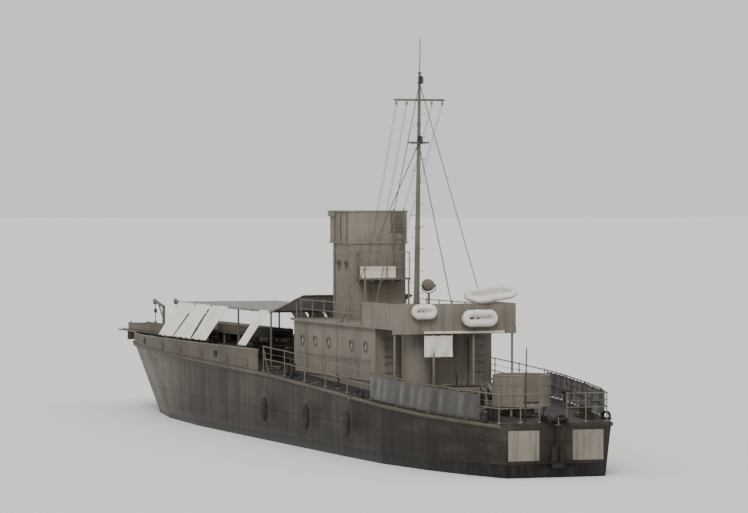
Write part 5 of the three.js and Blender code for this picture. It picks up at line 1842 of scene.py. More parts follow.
@dataclass
class Deckhouse:
    """Dressing of the deckhouse: ports, rails, door dogs, a drip edge and the white screen under the roof."""

    half: float = 2.3
    ends: Pair = (12.0, 21.7)
    roof: float = 4.8
    roof_aft: float = 9.8
    roof_half: float = 2.36
    port_d: tuple[float, ...] = (13.1, 14.7, 17.4, 19.0, 20.6)
    port_z: float = 3.95
    port_radius: float = 0.15
    grab: Pair = (12.6, 21.2)
    grab_feet: Row = (12.7, 1.4, 7)
    grab_z: float = 3.45
    grab_out: float = 0.07
    posts: Row = (13.5, 1.43, 6)
    post_head: float = 0.75
    post_shoe: tuple[Pair, ...] = ((0, 0.03), (0.05, 0.02), (0.055, 0), (0, 0))
    wall_seams: tuple[float, ...] = (14.0, 16.43, 18.2, 20.1)
    seam_z: Pair = (2.75, 4.66)
    roof_seams: tuple[float, ...] = (11.6, 13.4, 16.43, 19.6)
    drip_y: Pair = (-1.95, 1.2)
    drip_z: Pair = (4.555, 4.64)
    drip_bolts: Row = (-1.8, 0.36, 9)
    screen_y: Pair = (0.06, 1.16)
    screen_z: Pair = (3.68, 4.5)
    door_y: float = 1.75
    door_face: float = 11.935
    dog_y: Pair = (-0.22, 0.22)
    dog_z: Triple = (2.75, 3.35, 3.95)
    rib_z: Pair = (3.05, 3.65)
    grip_z: float = 3.42
    grip: tuple[Pair, ...] = ((0, -0.1), (-0.07, -0.1), (-0.07, 0.1), (0, 0.1))

    def rails(self) -> None:
        """Grab rails along the sides, and the heads and feet of the roof rail's posts."""
        made: list[Thing] = []
        for side in Side:
            wall, out, z = side.value * self.half, side.value * (self.half + self.grab_out), self.grab_z
            made.append(pipe([at(d, out, z) for d in self.grab], 0.017))
            for d in row(*self.grab_feet):
                made.append(rod(at(d, wall, z - 0.05), at(d, out, z), 0.014, 6))
            for d in row(*self.posts):
                foot = at(d, side.value * self.roof_half, self.roof)
                made.append(ball(foot + shift(z=self.post_head), 0.034))
                made.append(turned(self.post_shoe, foot, count=10))
        finish_piece(made, "deckhouse_rails", GEAR_PAINT, Slot.PIPE)

    def seams(self) -> None:
        """The flat bars over the butts of walls and roof, and the strips under the roof and at the foot."""
        aft, fore = self.ends
        strips = [(about(d, 0.03), 0.014, self.seam_z, 0.002) for d in self.wall_seams]
        strips.append(((aft, fore), 0.03, (4.56, 4.6), 0.004))
        strips.append(((aft + 0.02, fore - 0.02), 0.05, (2.71, 2.78), 0.006))
        made: list[Thing] = []
        for side in Side:
            y = side.value * self.half
            made += [slab(d, (y, y + side.value * thick), z, bevel) for d, thick, z, bevel in strips]
        for d in self.roof_seams:
            made.append(slab(about(d, 0.04), about(0, self.roof_half), (self.roof, self.roof + 0.012), 0.002))
        finish_piece(made, "deckhouse_seams", HOUSE_PAINT)

    def drip_edge(self) -> None:
        """The white strip on the after edge of the roof, with its bolts."""
        bolts = [at(self.roof_aft - 0.05, y, 4.6) for y in row(*self.drip_bolts)]
        face = slab((self.roof_aft - 0.035, self.roof_aft), self.drip_y, self.drip_z, 0.005)
        finish_piece([face, *studs(bolts, shift(0.05), 0.012)], "roof_drip_edge", WHITE_PAINT, Slot.HOUSE)

    def screen(self) -> None:
        """The white canvas screen laced under the roof's after edge."""
        wide = self.screen_y[1] - self.screen_y[0]
        tall = self.screen_z[1] - self.screen_z[0]

        def place(u: float, v: float) -> Vector:
            """A point of the screen with its folds, from its shares across and down.

            Args:
                u: The share across.
                v: The share down.

            Returns:
                The point.
            """
            fold = 0.028 * math.sin(u * 13 + 1.2 * math.sin(4 * v)) * (0.25 + v)
            droop = 0.025 * abs(math.sin(math.pi * u * 3)) * (1 - v) ** 6
            y, z = self.screen_y[0] + wide * u, self.screen_z[1] - tall * v - droop
            return at(self.roof_aft + 0.06 + fold, y, z)

        sheet, area = cloth(36, 20, place, 0.005)
        finish_piece(sheet, "roof_screen", WHITE_CANVAS)
        hems = [pipe([place(i / 30, 0.985) for i in range(31)], 0.014)]
        heads = [place(i / 3, 0.01) for i in range(4)]
        hems += [pipe([head, head + shift(z=0.08)], 0.008) for head in heads]
        hem = finish_piece(hems, "roof_screen_lacing", ROPE)

    def door(self, side: Side) -> None:
        """Dogs, a handle and stiffeners on one of the two after doors, which swing with it.

        Args:
            side: The door's side.
        """
        y, face = side.value * self.door_y, self.door_face
        made: list[Thing] = []
        for z in self.dog_z:
            for out in self.dog_y:
                hub = at(face, y + out, z)
                made.append(rod(hub, hub + shift(-0.05), 0.02, 8))
                made.append(pipe([hub + shift(-0.045), hub + shift(-0.05, out * -0.3, 0.1)], 0.013))
        for z in self.rib_z:
            made.append(slab((face - 0.03, face + 0.002), about(y, 0.27), about(z, 0.02), 0.003))
        made.append(pipe([at(face + ahead, y + out, self.grip_z) for ahead, out in self.grip], 0.012))
        body = f"deckhouse_door_{side.word}"
        finish_piece(made, f"{body}_fittings", GEAR_PAINT, body=body)

    def build(self) -> None:
        """Builds the deckhouse's dressing."""
        ports: list[tuple[Vector, Vector, float]] = []
        for side in Side:
            out = ACROSS * side.value
            spots = [at(d, side.value * self.half, self.port_z) for d in self.port_d]
            ports += [(spot, out, self.port_radius) for spot in spots]
        port_lights("deckhouse", ports)
        self.rails()
        self.seams()
        self.drip_edge()
        self.screen()
        for side in Side:
            self.door(side)


@dataclass
class Tower:
    """Dressing of the conning tower: ports, bridge rim, compass stand, voice pipes, rungs and door dogs."""

    half: float = 1.08
    ends: Pair = (18.1, 20.5)
    roof: float = 4.8
    port_z: float = 6.9
    port_d: Pair = (18.85, 19.75)
    port_y: Triple = (-0.62, 0.0, 0.62)
    port_radii: Pair = (0.14, 0.16)  # in the sides and in the front
    bridge: Pair = (18.07, 20.78)
    bridge_floor: float = 7.82
    bridge_top: float = 9.0
    bridge_half: float = 1.16
    way_in: Pair = (-0.42, 0.93)  # the rim on the bridge's after side, short of the way in
    bridge_ribs: Triple = (18.7, 19.4, 20.1)
    aft_ribs: Triple = (-0.6, 0.0, 0.6)
    rib_tops: Pair = (8.94, 8.1)
    compass_place: Triple = (19.9, 0.0, 7.81)
    voice_y: Triple = (-0.55, 0.55, 0.75)
    voice_line: tuple[Pair, ...] = ((20.55, 7.8), (20.55, 8.7), (20.48, 8.8))
    rungs: Row = (5.15, 0.32, 8)
    rung: tuple[Pair, ...] = ((18.3, 0), (18.3, 0.1), (18.62, 0.1), (18.62, 0))
    conduits: tuple[Pair, ...] = ((20.2, 1.11), (20.28, 1.11), (19.2, -1.11))
    conduit_top: float = 7.75
    clips: Triple = (5.2, 6.1, 7.0)
    doorway: tuple[Pair, Pair] = ((-0.34, 0.34), (4.98, 6.2))
    seams: Pair = (7.3, 5.0)
    dogs: Triple = (-0.35, 0.0, 0.35)  # shares of the door's height, from its middle
    grip: tuple[Pair, ...] = ((0, -0.1), (-0.06, -0.1), (-0.06, 0.1), (0, 0.1))
    # The compass stand's profile, and its hood's.
    stand: tuple[Pair, ...] = (
        (0, 0), (0.18, 0), (0.185, 0.03), (0.112, 0.07), (0.094, 0.2),
        (0.094, 0.72), (0.14, 0.78), (0.158, 0.84), (0, 0.84),
    )
    hood: tuple[Pair, ...] = (
        (0, 0.84), (0.158, 0.84), (0.162, 0.92), (0.152, 1.02), (0.11, 1.12), (0.04, 1.175), (0, 1.18),
    )
    bell: tuple[Pair, ...] = ((0.03, 0), (0.04, 0.05), (0.07, 0.1), (0.06, 0.1), (0.025, 0.03))

    def lights(self) -> None:
        """Rims and glass round the ports that are cut in the tower's sides and front."""
        z, (small, large) = self.port_z, self.port_radii
        sides = [(side, d) for side in Side for d in self.port_d]
        spots = [(at(d, side.value * self.half, z), ACROSS * side.value, small) for side, d in sides]
        spots += [(at(self.ends[1], y, z), ALONG, large) for y in self.port_y]
        port_lights("tower", spots, 0.04)

    def bridge_rim(self) -> None:
        """The rounded rim of the bridge's bulwark, which stops at the way in, and its stiffeners outside."""
        a, f = self.bridge
        h, z, floor = self.bridge_half, self.bridge_top, self.bridge_floor
        low, high = self.way_in
        lines = [[(a, high), (a, h), (f, h), (f, -h), (a, -h)], [(a, low), (a, high)]]
        made = [pipe([at(*spot, z) for spot in line], 0.03, sides=2) for line in lines]
        for side in Side:
            y = side.value * (h - 0.01)
            deep = (y, y + side.value * 0.035)
            for d in self.bridge_ribs:
                made.append(slab(about(d, 0.025), deep, (floor, self.rib_tops[0]), 0.004))
        for y in self.aft_ribs:
            made.append(slab((a - 0.04, a - 0.01), about(y, 0.02), (floor, self.rib_tops[1]), 0.003))
        finish_piece(made, "bridge_rim", HOUSE_PAINT)

    def compass(self) -> None:
        """The covered compass stand and the voice pipes on the bridge."""
        foot = at(*self.compass_place)
        finish_piece(turned(self.stand, foot, count=20), "compass_stand", GEAR_PAINT)
        finish_piece(turned(self.hood, foot, count=20), "compass_hood", BRASS)
        made: list[Thing] = []
        for y in self.voice_y:
            line = [at(d, y, z) for d, z in self.voice_line]
            made.append(pipe(line, 0.03, sides=2))
            made.append(turned(self.bell, line[-1], Vector((-0.6, 0, 0.8)), 14))
        finish_piece(made, "voice_pipes", BRASS)

    def climbing(self) -> None:
        """Rungs on the port side, conduits with their clips, the doorway's coaming and the walls' seams."""
        made = [pipe([at(d, self.half + out, z) for d, out in self.rung], 0.014) for z in row(*self.rungs)]
        for d, y in self.conduits:
            made.append(pipe([at(d, y, self.roof), at(d, y, self.conduit_top)], 0.016))
            made += [slab(about(d, 0.035), about(y, 0.025), (z, z + 0.04), 0.002) for z in self.clips]
        coaming = [at(self.ends[0] - 0.01, y, z) for y, z in corners(*self.doorway)]
        made.append(pipe(coaming, 0.022, closed=True))
        for z in self.seams:
            for side in Side:
                y = side.value * self.half
                made.append(slab(self.ends, (y, y + side.value * 0.012), about(z, 0.03), 0.002))
        finish_piece(made, "tower_rungs", HOUSE_PAINT)

    def door(self) -> None:
        """Dogs and a handle on the tower's door, which swing with it."""
        low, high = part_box("tower_door")
        size = high - low
        middle = Vector((low.x - 0.001, (low.y + high.y) / 2, (low.z + high.z) / 2))
        made: list[Thing] = []
        for up in self.dogs:
            for hand in (-1, 1):
                hub = middle + Vector((0, hand * size.y * 0.4, size.z * up))
                made.append(rod(hub + shift(0.004), hub + shift(-0.04), 0.016, 8))
                made.append(pipe([hub + shift(-0.035), hub + shift(-0.035, hand * -0.07, 0.05)], 0.01))
        made.append(pipe([middle + shift(ahead, 0, up) for ahead, up in self.grip], 0.01))
        finish_piece(made, "tower_door_fittings", GEAR_PAINT, body="tower_door")

    def build(self) -> None:
        """Builds the tower's dressing."""
        self.lights()
        self.bridge_rim()
        self.compass()
        self.climbing()
        self.door()


@dataclass
class Mast:
    """Rigging on the mast: lamps in their guards, steps, bands, blocks, halyards and the rigging screws."""

    foot: float = 13.9
    rake: float = 0.35
    base: float = 4.8
    top: float = 14.2
    yard: float = 13.2
    lamps: Pair = (11.71, 13.95)
    lamp_aft: float = 0.14
    lamp_cap: tuple[Pair, ...] = (
        (0, 0.15), (0.03, 0.148), (0.045, 0.13), (0.085, 0.115), (0.09, 0.095), (0, 0.095),
    )
    lamp_sole: tuple[Pair, ...] = ((0, -0.1), (0.088, -0.1), (0.09, -0.125), (0.05, -0.15), (0, -0.15))
    guard: float = 0.1
    # The height and the foot's distance of each pair of stays.
    stays: tuple[Pair, Pair] = ((13.85, 12.4), (11.58, 15.9))
    stay_side: float = 2.3
    screw: tuple[Pair, ...] = (
        (0, 0.1), (0.022, 0.1), (0.034, 0.14), (0.034, 0.4), (0.022, 0.44), (0.02, 0.52), (0, 0.52),
    )
    pulley: tuple[Pair, ...] = (
        (0, -0.16), (0.03, -0.15), (0.045, -0.1), (0.038, -0.05), (0.012, -0.02), (0, 0),
    )
    thick: Pair = (0.125, 0.055)  # the pole's radius with a band, at its foot and its head
    bands: tuple[float, ...] = (5.6, 8.4, 11.58, 12.3, 13.2, 13.85)
    footholds: Row = (5.5, 0.42, 18)
    foot_bolts: Pair = (-0.17, 0.17)
    truck: tuple[Pair, ...] = ((0, 0), (0.075, 0.0), (0.08, 0.03), (0.05, 0.055), (0, 0.06))
    # Places across of each halyard's head and foot.
    halyards: tuple[Pair, ...] = ((-0.92, -0.5), (-0.5, -0.2), (0.5, 0.35), (0.92, 0.7))
    halyard_foot: Pair = (17.2, 7.4)  # distance and height

    def share(self, z: float) -> float:
        """How far up the pole a height is."""
        return (z - self.base) / (self.top - self.base)

    def on(self, z: float, y: float = 0.0, ahead: float = 0.0) -> Vector:
        """A place beside the raked pole at a height."""
        return at(self.foot - self.rake * self.share(z) + ahead, y, z)

    def lamp(self, z: float) -> tuple[list[Thing], Thing]:
        """A lamp's guard and cap, and its ribbed glass.

        Args:
            z: The height of its middle.

        Returns:
            The metalwork and the glass.
        """
        centre, reach = self.on(z, 0, -self.lamp_aft), self.guard
        metal = [turned(shape, centre, count=16) for shape in (self.lamp_cap, self.lamp_sole)]
        bars = [shift(reach * math.cos(turn), reach * math.sin(turn), -0.11) for turn in steps(6, 0.5)]
        metal += studs([centre + bar for bar in bars], shift(z=0.22), 0.007)
        metal.append(ring(centre, UP, reach, 0.007, 18))
        ribs = [(0.0, -0.1)]
        for low in row(-0.095, 0.031, 6):
            ribs += [(0.074, low), (0.083, low + 0.015)]
        return metal, turned([*ribs, (0.0, 0.095)], centre, count=18)

    def rigging_screw(self, foot: Vector, head: Vector) -> list[Thing]:
        """A rigging screw at a stay's foot, with its eye plate's shackle."""
        way = (head - foot).normalized()
        return [turned(self.screw, foot, way, 10), ring(foot + way * real(0.07), ACROSS, 0.045, 0.014)]

    def fittings(self) -> list[Thing]:
        """Bands, steps, the truck on the pole's head and the bolts of the foot.

        Returns:
            The fittings.
        """
        made: list[Thing] = []
        for z in self.bands:
            r = self.thick[0] + (self.thick[1] - self.thick[0]) * self.share(z)
            band = [(0, -0.05), (r, -0.05), (r + 0.012, -0.04), (r + 0.012, 0.04), (r, 0.05), (0, 0.05)]
            made.append(turned(band, self.on(z), count=16))
        for i, z in enumerate(row(*self.footholds)):
            hand = -1 if i % 2 else 1
            made.append(pipe([self.on(z), self.on(z, hand * 0.24), self.on(z + 0.04, hand * 0.25)], 0.012))
        made.append(turned(self.truck, self.on(self.top), count=16))
        ring_of_bolts = corners(self.foot_bolts, self.foot_bolts)
        bolts = [at(self.foot + x, y, self.base + 0.08) for x, y in ring_of_bolts]
        return made + studs(bolts, shift(z=0.04), 0.024)

    def build(self) -> None:
        """Builds the rigging."""
        metal, glasses = zip(*[self.lamp(z) for z in self.lamps])
        finish_piece([part for lamp in metal for part in lamp], "mast_lamps", DARK_PAINT)
        finish_piece(glasses, "mast_lamp_glass", GLASS)
        made = self.fittings()
        for z, d in self.stays:
            for hand in (-1, 1):
                made += self.rigging_screw(at(d, hand * self.stay_side, self.base + 0.04), self.on(z))
        finish_piece(made, "mast_fittings", GEAR_PAINT)
        blocks: list[Thing] = []
        lines: list[Thing] = []
        for head_y, foot_y in self.halyards:
            eye = self.on(self.yard - 0.04, head_y)
            blocks += [turned(self.pulley, eye, count=12), ring(eye, ALONG, 0.024, 0.008, 10)]
            for out in (-0.025, 0.025):
                head = self.on(self.yard - 0.17, head_y + out)
                foot = at(self.halyard_foot[0], foot_y + out, self.halyard_foot[1])
                lines.append(pipe([head, (head + foot) / 2 - shift(z=0.06), foot], 0.0065))
        finish_piece(blocks, "halyard_blocks", WOOD)
        finish_piece(lines, "signal_halyards", ROPE)


@dataclass
class SignalPlatform:
    """Rails and wires round the signal platform, its edge bar, and the front of its flag locker."""

    aft: float = 17.15
    fore: float = 18.05
    half: float = 0.95
    z: float = 6.42
    inset: float = 0.04
    rail: float = 1.0
    # The height and the radius of the rail and of the two wires.
    lines: tuple[Pair, ...] = ((1.0, 0.02), (0.68, 0.009), (0.36, 0.009))
    shoe: tuple[Pair, ...] = ((0, 0.03), (0.045, 0.02), (0.05, 0), (0, 0))
    bars: tuple[float, ...] = (-0.6, -0.2, 0.2, 0.6)
    locker: Pair = (17.25, 17.75)
    locker_y: Pair = (-0.35, 0.9)
    locker_top: float = 6.84

    def rails(self) -> list[Thing]:
        """Stanchions with a rail and two wires, a bar round the platform's edge, and the bars under it.

        Returns:
            The rails and bars.
        """
        a, f, h, z = self.aft + self.inset, self.fore, self.half - self.inset, self.z
        posts = [(f, h), (a, h), (a, 0.0), (a, -h), (f - 0.35, -h)]
        made: list[Thing] = []
        for post in posts:
            foot = at(*post, z)
            head = foot + shift(z=self.rail)
            made += [rod(foot, head, 0.022, 8), ball(head, 0.03), turned(self.shoe, foot, count=10)]
        made += [pipe([at(*post, z + level) for post in posts], radius) for level, radius in self.lines]
        back, out = a - 0.035, h + 0.035
        edge = [(f, out), (back, out), (back, -out), (f, -out)]
        made.append(pipe([at(*spot, z) for spot in edge], 0.022, sides=2))
        for y in self.bars:
            made.append(slab((self.aft, f), about(y, 0.015), (z - 0.12, z - 0.05), 0.003))
        return made

    def locker_front(self) -> list[Thing]:
        """The lid, the divisions and the batten of the flag locker.

        Returns:
            The locker's pieces.
        """
        (low, high), (a, f), z, top = self.locker_y, self.locker, self.z, self.locker_top
        face = (a - 0.014, a)
        made = [slab((a - 0.02, f + 0.01), (low - 0.02, high + 0.02), (top, top + 0.03), 0.006)]
        for y in row(low, (high - low) / 5, 6):
            made.append(slab(face, about(y, 0.014), (z + 0.02, top), 0.003))
        made.append(slab(face, self.locker_y, (z + 0.2, z + 0.225), 0.003))
        return made

    def build(self) -> None:
        """Builds the platform's dressing."""
        finish_piece(self.rails(), "signal_platform_rails", GEAR_PAINT, Slot.PIPE)
        finish_piece(self.locker_front(), "flag_locker_front", WHITE_PAINT)


@dataclass
class Tub:
    """Dressing of an empty round tub: rounded rim, stiffeners, foot ring and blank floor plate."""

    name: str
    d: float
    floor: float
    radius: float = 1.0
    height: float = 1.0
    pedestal: float = 0.45
    way_in: float = 19.0  # degrees either side of the after side
    bands: Pair = (0.34, 0.68)
    stiffeners: int = 14
    foot_bolts: int = 12
    plate_bolts: int = 10
    floor_bars: int = 20
    floor_reach: Pair = (0.45, 0.86)
    blank: tuple[Pair, ...] = ((0, 0.04), (0.3, 0.04), (0.34, 0.03), (0.36, 0.0), (0, 0.0))

    def around(self, degrees: float, reach: float, z: float) -> Vector:
        """A place round the tub, turned from its after side."""
        turn = math.radians(degrees)
        return at(self.d - reach * math.cos(turn), reach * math.sin(turn), z)

    def wall(self) -> list[Thing]:
        """The rim, the bands and stiffeners outside, and the foot's ring with its bolts.

        Returns:
            The wall's pieces.
        """
        start, sweep, top = self.way_in, 360 - 2 * self.way_in, self.floor + self.height
        turns = row(start, sweep / 60, 61)
        inner, outer = self.radius - 0.02, self.radius + 0.008
        near, far = (self.around(turn, inner, self.floor + 0.1) for turn in (turns[0], turns[-1]))
        made = [pipe([near, *(self.around(turn, inner, top) for turn in turns), far], 0.032, sides=2)]
        for level in self.bands:
            made.append(pipe([self.around(turn, self.radius, self.floor + level) for turn in turns], 0.014))
        ways = row(start + 10, (sweep - 20) / (self.stiffeners - 1), self.stiffeners)
        made += studs([self.around(way, outer, self.floor) for way in ways], shift(z=self.height), 0.022)
        deck, r = deck_z(self.d), self.pedestal
        foot = [(0.3, 0.0), (r + 0.14, 0.0), (r + 0.14, 0.025), (r + 0.02, 0.035), (0.3, 0.035), (0.3, 0.0)]
        made.append(turned(foot, at(self.d, 0, deck)))
        ways = row(0, 360 / self.foot_bolts, self.foot_bolts)
        return made + studs([self.around(way, r + 0.09, deck) for way in ways], shift(z=0.06), 0.018)

    def floor_plate(self) -> list[Thing]:
        """The blank plate in the middle of the floor with its bolts, and the foot bars round it.

        Returns:
            The plate, its bolts and the bars.
        """
        z = self.floor + 0.02
        made = [turned(self.blank, at(self.d, 0, z))]
        ways = row(0, 360 / self.plate_bolts, self.plate_bolts)
        made += studs([self.around(way, 0.27, z + 0.03) for way in ways], shift(z=0.025), 0.018)
        for way in row(0, 360 / self.floor_bars, self.floor_bars):
            near, far = (self.around(way, reach, z + 0.005) for reach in self.floor_reach)
            made.append(rod(near, far, 0.012, 5))
        return made

    def build(self) -> None:
        """Builds the tub's dressing."""
        finish_piece(self.wall(), f"{self.name}_stiffeners", HOUSE_PAINT)
        finish_piece(self.floor_plate(), f"{self.name}_floor_plate", DECK_PAINT)


@dataclass
class Winch:
    """Dressing of the stern winch: wire on its drum, toothed wheel, brake, engine cover and the run aft."""

    d: float = 5.4
    z: float = 2.62
    drum: float = 0.22
    drum_half: float = 0.42
    wire: float = 0.02
    per_turn: int = 14
    wheel: float = 0.27
    wheel_y: float = 0.68
    teeth: int = 26
    bearing: tuple[Pair, ...] = ((0.075, -0.07), (0.12, -0.07), (0.12, 0.07), (0.075, 0.07), (0.075, -0.07))
    engine_y: Pair = (0.85, 1.75)
    engine_tall: float = 0.85
    louvres: Row = (0.2, 0.075, 7)
    louvre_tall: float = 0.035
    stack: tuple[Pair, ...] = ((0.2, 0), (0.2, 0.35), (0.3, 0.42))
    lever: tuple[Triple, ...] = ((0.1, -0.66, 0.1), (-0.05, -0.68, 0.75), (-0.12, -0.68, 0.95))
    roller: Pair = (-0.14, 1.98)
    # Bends of the wire on its way aft, past the tub's pedestal: distance, place across, way to the sheave.
    bends: tuple[Triple, ...] = ((4.3, 0.95, -75.0), (1.15, 0.12, 100.0))
    sheave: tuple[Pair, ...] = (
        (0, 0.16), (0.1, 0.16), (0.1, 0.145), (0.075, 0.13),
        (0.075, 0.11), (0.1, 0.095), (0.1, 0.08), (0, 0.08),
    )
    shell: tuple[Pair, ...] = ((0, 0.045), (0.15, 0.045), (0.16, 0.03), (0.16, 0), (0, 0))

    def by(self, ahead: float, y: float, z: float) -> Vector:
        """A place by the winch: its distance ahead of the axle, across and over the deck."""
        return at(self.d + ahead, y, deck_z(self.d) + z)

    def turns(self) -> Thing:
        """Wire wound on the drum in two layers.

        Returns:
            The wound wire.
        """
        points: list[Vector] = []
        for layer, hand in enumerate((1, -1)):
            count = (int((self.drum_half - 0.05) / self.wire) - layer) * self.per_turn
            reach = self.drum + self.wire * (0.9 + 1.75 * layer)
            for i in range(count):
                turn = math.tau * i / self.per_turn
                y = (self.drum_half - 0.04) * (2 * i / count - 1) * hand
                points.append(at(self.d + reach * math.cos(turn), y, self.z + reach * math.sin(turn)))
        return pipe(points, self.wire * 0.92)

    def gear(self) -> list[Thing]:
        """The toothed wheel on the drum's axle.

        Returns:
            The wheel and its teeth.
        """
        r, centre = self.wheel, at(self.d, self.wheel_y, self.z)
        shape = [(0, -0.05), (0.09, -0.05), (0.1, -0.02), (r * 0.8, -0.02), (r * 0.82, -0.04), (r, -0.04)]
        shape += [(radius, -height) for radius, height in reversed(shape)]
        wheel = turned(shape, centre, ACROSS, 26)
        tooth = block(shift(r - 0.004, -0.035, -0.014), shift(r + 0.03, 0.035, 0.014), 0.002)
        turns = [Matrix.Rotation(turn, 4, "Y") for turn in steps(self.teeth)]
        return [wheel, repeat(tooth, [Matrix.Translation(centre) @ turn for turn in turns])]

    def engine(self) -> list[Thing]:
        """The engine cover's louvres, lid, exhaust and lifting eyes.

        Returns:
            The cover's fittings.
        """
        made: list[Thing] = []
        d, deck, (near, far) = self.d, deck_z(self.d), self.engine_y
        top = self.engine_tall
        for up in row(*self.louvres):
            z = (deck + up, deck + up + self.louvre_tall)
            made.append(slab((d - 0.44, d - 0.415), (near + 0.12, far - 0.12), z, 0.004))
            made.append(slab(about(d, 0.3), (far - 0.002, far + 0.02), z, 0.004))
        lid = (deck + top - 0.03, deck + top + 0.015)
        made.append(slab(about(d, 0.44), (near - 0.02, far + 0.02), lid, 0.008))
        made.append(pipe([self.by(ahead, far - 0.25, top + up) for ahead, up in self.stack], 0.05, sides=2))
        for ahead in (-0.3, 0.3):
            made.append(ring(self.by(ahead, (near + far) / 2, top + 0.05), ACROSS, 0.05, 0.012))
        return made

    def frame_fittings(self) -> list[Thing]:
        """Bearing caps, bolts, the engine cover's fittings, and the brake's lever and hand wheel.

        Returns:
            The fittings.
        """
        made = [turned(self.bearing, at(self.d, y, self.z), ACROSS, 18) for y in (-0.55, 0.55)]
        bolts = [self.by(ahead, y, 0.1) for ahead in (-0.42, 0.42) for y in (-0.5, 0.0, 0.5)]
        made += [*studs(bolts, shift(z=0.035), 0.022), *self.engine()]
        lever = [self.by(*spot) for spot in self.lever]
        made += [pipe(lever, 0.018), ball(lever[-1], 0.035)]
        wheel = self.by(0.32, -0.72, 0.75)
        made += hand_wheel(wheel, ACROSS, 0.16)
        made.append(rod(wheel, self.by(0.32, -0.5, 0.75), 0.02, 8))
        made.append(rod(self.by(0.32, -0.62, 0.1), self.by(0.32, -0.62, 0.78), 0.03, 8))
        return made

    def lead_block(self, d: float, y: float, turn: float) -> list[Thing]:
        """A sheave lying in its block on deck, which the wire bends round.

        Args:
            d: The distance of the wire's bend from the transom.
            y: Its place across.
            turn: The way in degrees, from ahead, in which the sheave lies inside the bend.

        Returns:
            The block's pieces.
        """
        way = math.radians(turn)
        centre = at(d + 0.1 * math.cos(way), y + 0.1 * math.sin(way), deck_z(d))
        made = [turned(shape, centre, count=20) for shape in (self.sheave, self.shell)]
        made.append(rod(centre, centre + shift(z=0.2), 0.03, 8))
        bolts = [centre + shift(0.125 * math.cos(angle), 0.125 * math.sin(angle)) for angle in steps(4, 0.5)]
        return made + studs(bolts, shift(z=0.065), 0.018)

    def run(self) -> list[Thing]:
        """The wire from the drum round two blocks and over the stern roller to the anchor's shackle.

        Returns:
            The wire, its two blocks and the shackle.
        """
        d, z = self.roller
        line = [at(self.d - 0.02, 0.2, self.z - self.drum - self.wire * 3.2)]
        line += [at(bend, y, deck_z(bend) + 0.12) for bend, y, _ in self.bends]
        for turn in map(math.radians, row(85, 95 / 6, 7)):
            line.append(at(d + 0.09 * math.cos(turn), 0, z + 0.09 * math.sin(turn)))
        made = [pipe([*line, at(-0.2, 0, 1.88)], self.wire)]
        for bend in self.bends:
            made += self.lead_block(*bend)
        made.append(ring(at(-0.17, 0, 1.85), ACROSS, 0.07, 0.024, 16, 8))
        made.append(rod(at(-0.12, -0.1, 1.79), at(-0.12, 0.1, 1.79), 0.03, 8))
        return made

    def build(self) -> None:
        """Builds the winch's dressing."""
        finish_piece(self.turns(), "winch_wire", WIRE, body="winch_drum")
        finish_piece(self.gear(), "winch_gear", STEEL, body="winch_drum")
        finish_piece(self.frame_fittings(), "winch_fittings", DARK_PAINT)
        finish_piece(self.run(), "anchor_wire", WIRE)


@dataclass
class Hatch:
    """Fittings on a hatch: hand wheel, dogs and ribs on its lid, and hinge lugs on its coaming."""

    word: str
    d: float
    y: float
    half: float = 0.58
    coaming: float = 0.5
    lid_top: float = 0.072  # over the coaming
    dogs: tuple[Pair, ...] = ((-0.5, 0.0), (0.0, 0.5), (0.0, -0.5), (0.42, 0.42), (0.42, -0.42))
    dog: tuple[Pair, ...] = ((0.05, 0.05), (0, 0.035), (-0.05, 0.05))
    arms: Pair = (45, 135)  # degrees
    lug_y: tuple[float, ...] = (-0.42, -0.18, 0.18, 0.42)
    lug: tuple[Pair, ...] = ((0.55, -0.2), (0.61, -0.16), (0.63, -0.01), (0.56, -0.01))

    def lid(self, top: float) -> list[Thing]:
        """The hand wheel, arms, dogs and edge bar on the lid, whose top is at a height.

        Args:
            top: The height of the lid's top.

        Returns:
            The lid's pieces.
        """
        d, y = self.d, self.y
        made = hand_wheel(at(d + 0.05, y, top + 0.09), UP, 0.17)
        middle = at(d + 0.05, y, top + 0.01)
        for turn in map(math.radians, self.arms):
            arm = shift(0.62 * math.cos(turn), 0.62 * math.sin(turn))
            made.append(rod(middle - arm, middle + arm, 0.02, 6))
        for ahead, out in self.dogs:
            spot = at(d + ahead, y + out, top)
            made.append(rod(spot - shift(z=0.008), spot + shift(z=0.04), 0.035, 8))
            made.append(pipe([spot + shift(x, 0, z) for x, z in self.dog], 0.012))
        edge = corners(about(d, self.half), about(y, self.half))
        made.append(pipe([at(*corner, top - 0.005) for corner in edge], 0.014, closed=True))
        return made

    def lugs(self, rim: float) -> list[Thing]:
        """The hinge lugs and the bars round the coaming, whose rim is at a height.

        Args:
            rim: The height of the coaming's rim.

        Returns:
            The lugs and the bars.
        """
        d, bar = self.d, (rim - 0.08, rim - 0.05)
        made: list[Thing] = []
        for y in self.lug_y:
            outline = [at(d + ahead, self.y + y, rim + up) for ahead, up in self.lug]
            made.append(plate(outline, shift(y=0.02)))
        for side in (-1, 1):
            y = self.y + side * 0.55
            made.append(slab(about(d, 0.5), (y, y + side * 0.05), bar, 0.003))
        made.append(slab((d - 0.6, d - 0.55), about(self.y, 0.5), bar, 0.003))
        return made

    def build(self) -> None:
        """Builds the hatch's fittings."""
        rim = deck_z(self.d) + self.coaming
        body = f"hatch_lid_{self.word}"
        finish_piece(self.lid(rim + self.lid_top), f"{body}_fittings", GEAR_PAINT, body=body)
        finish_piece(self.lugs(rim), f"hatch_{self.word}_lugs", HOUSE_PAINT)


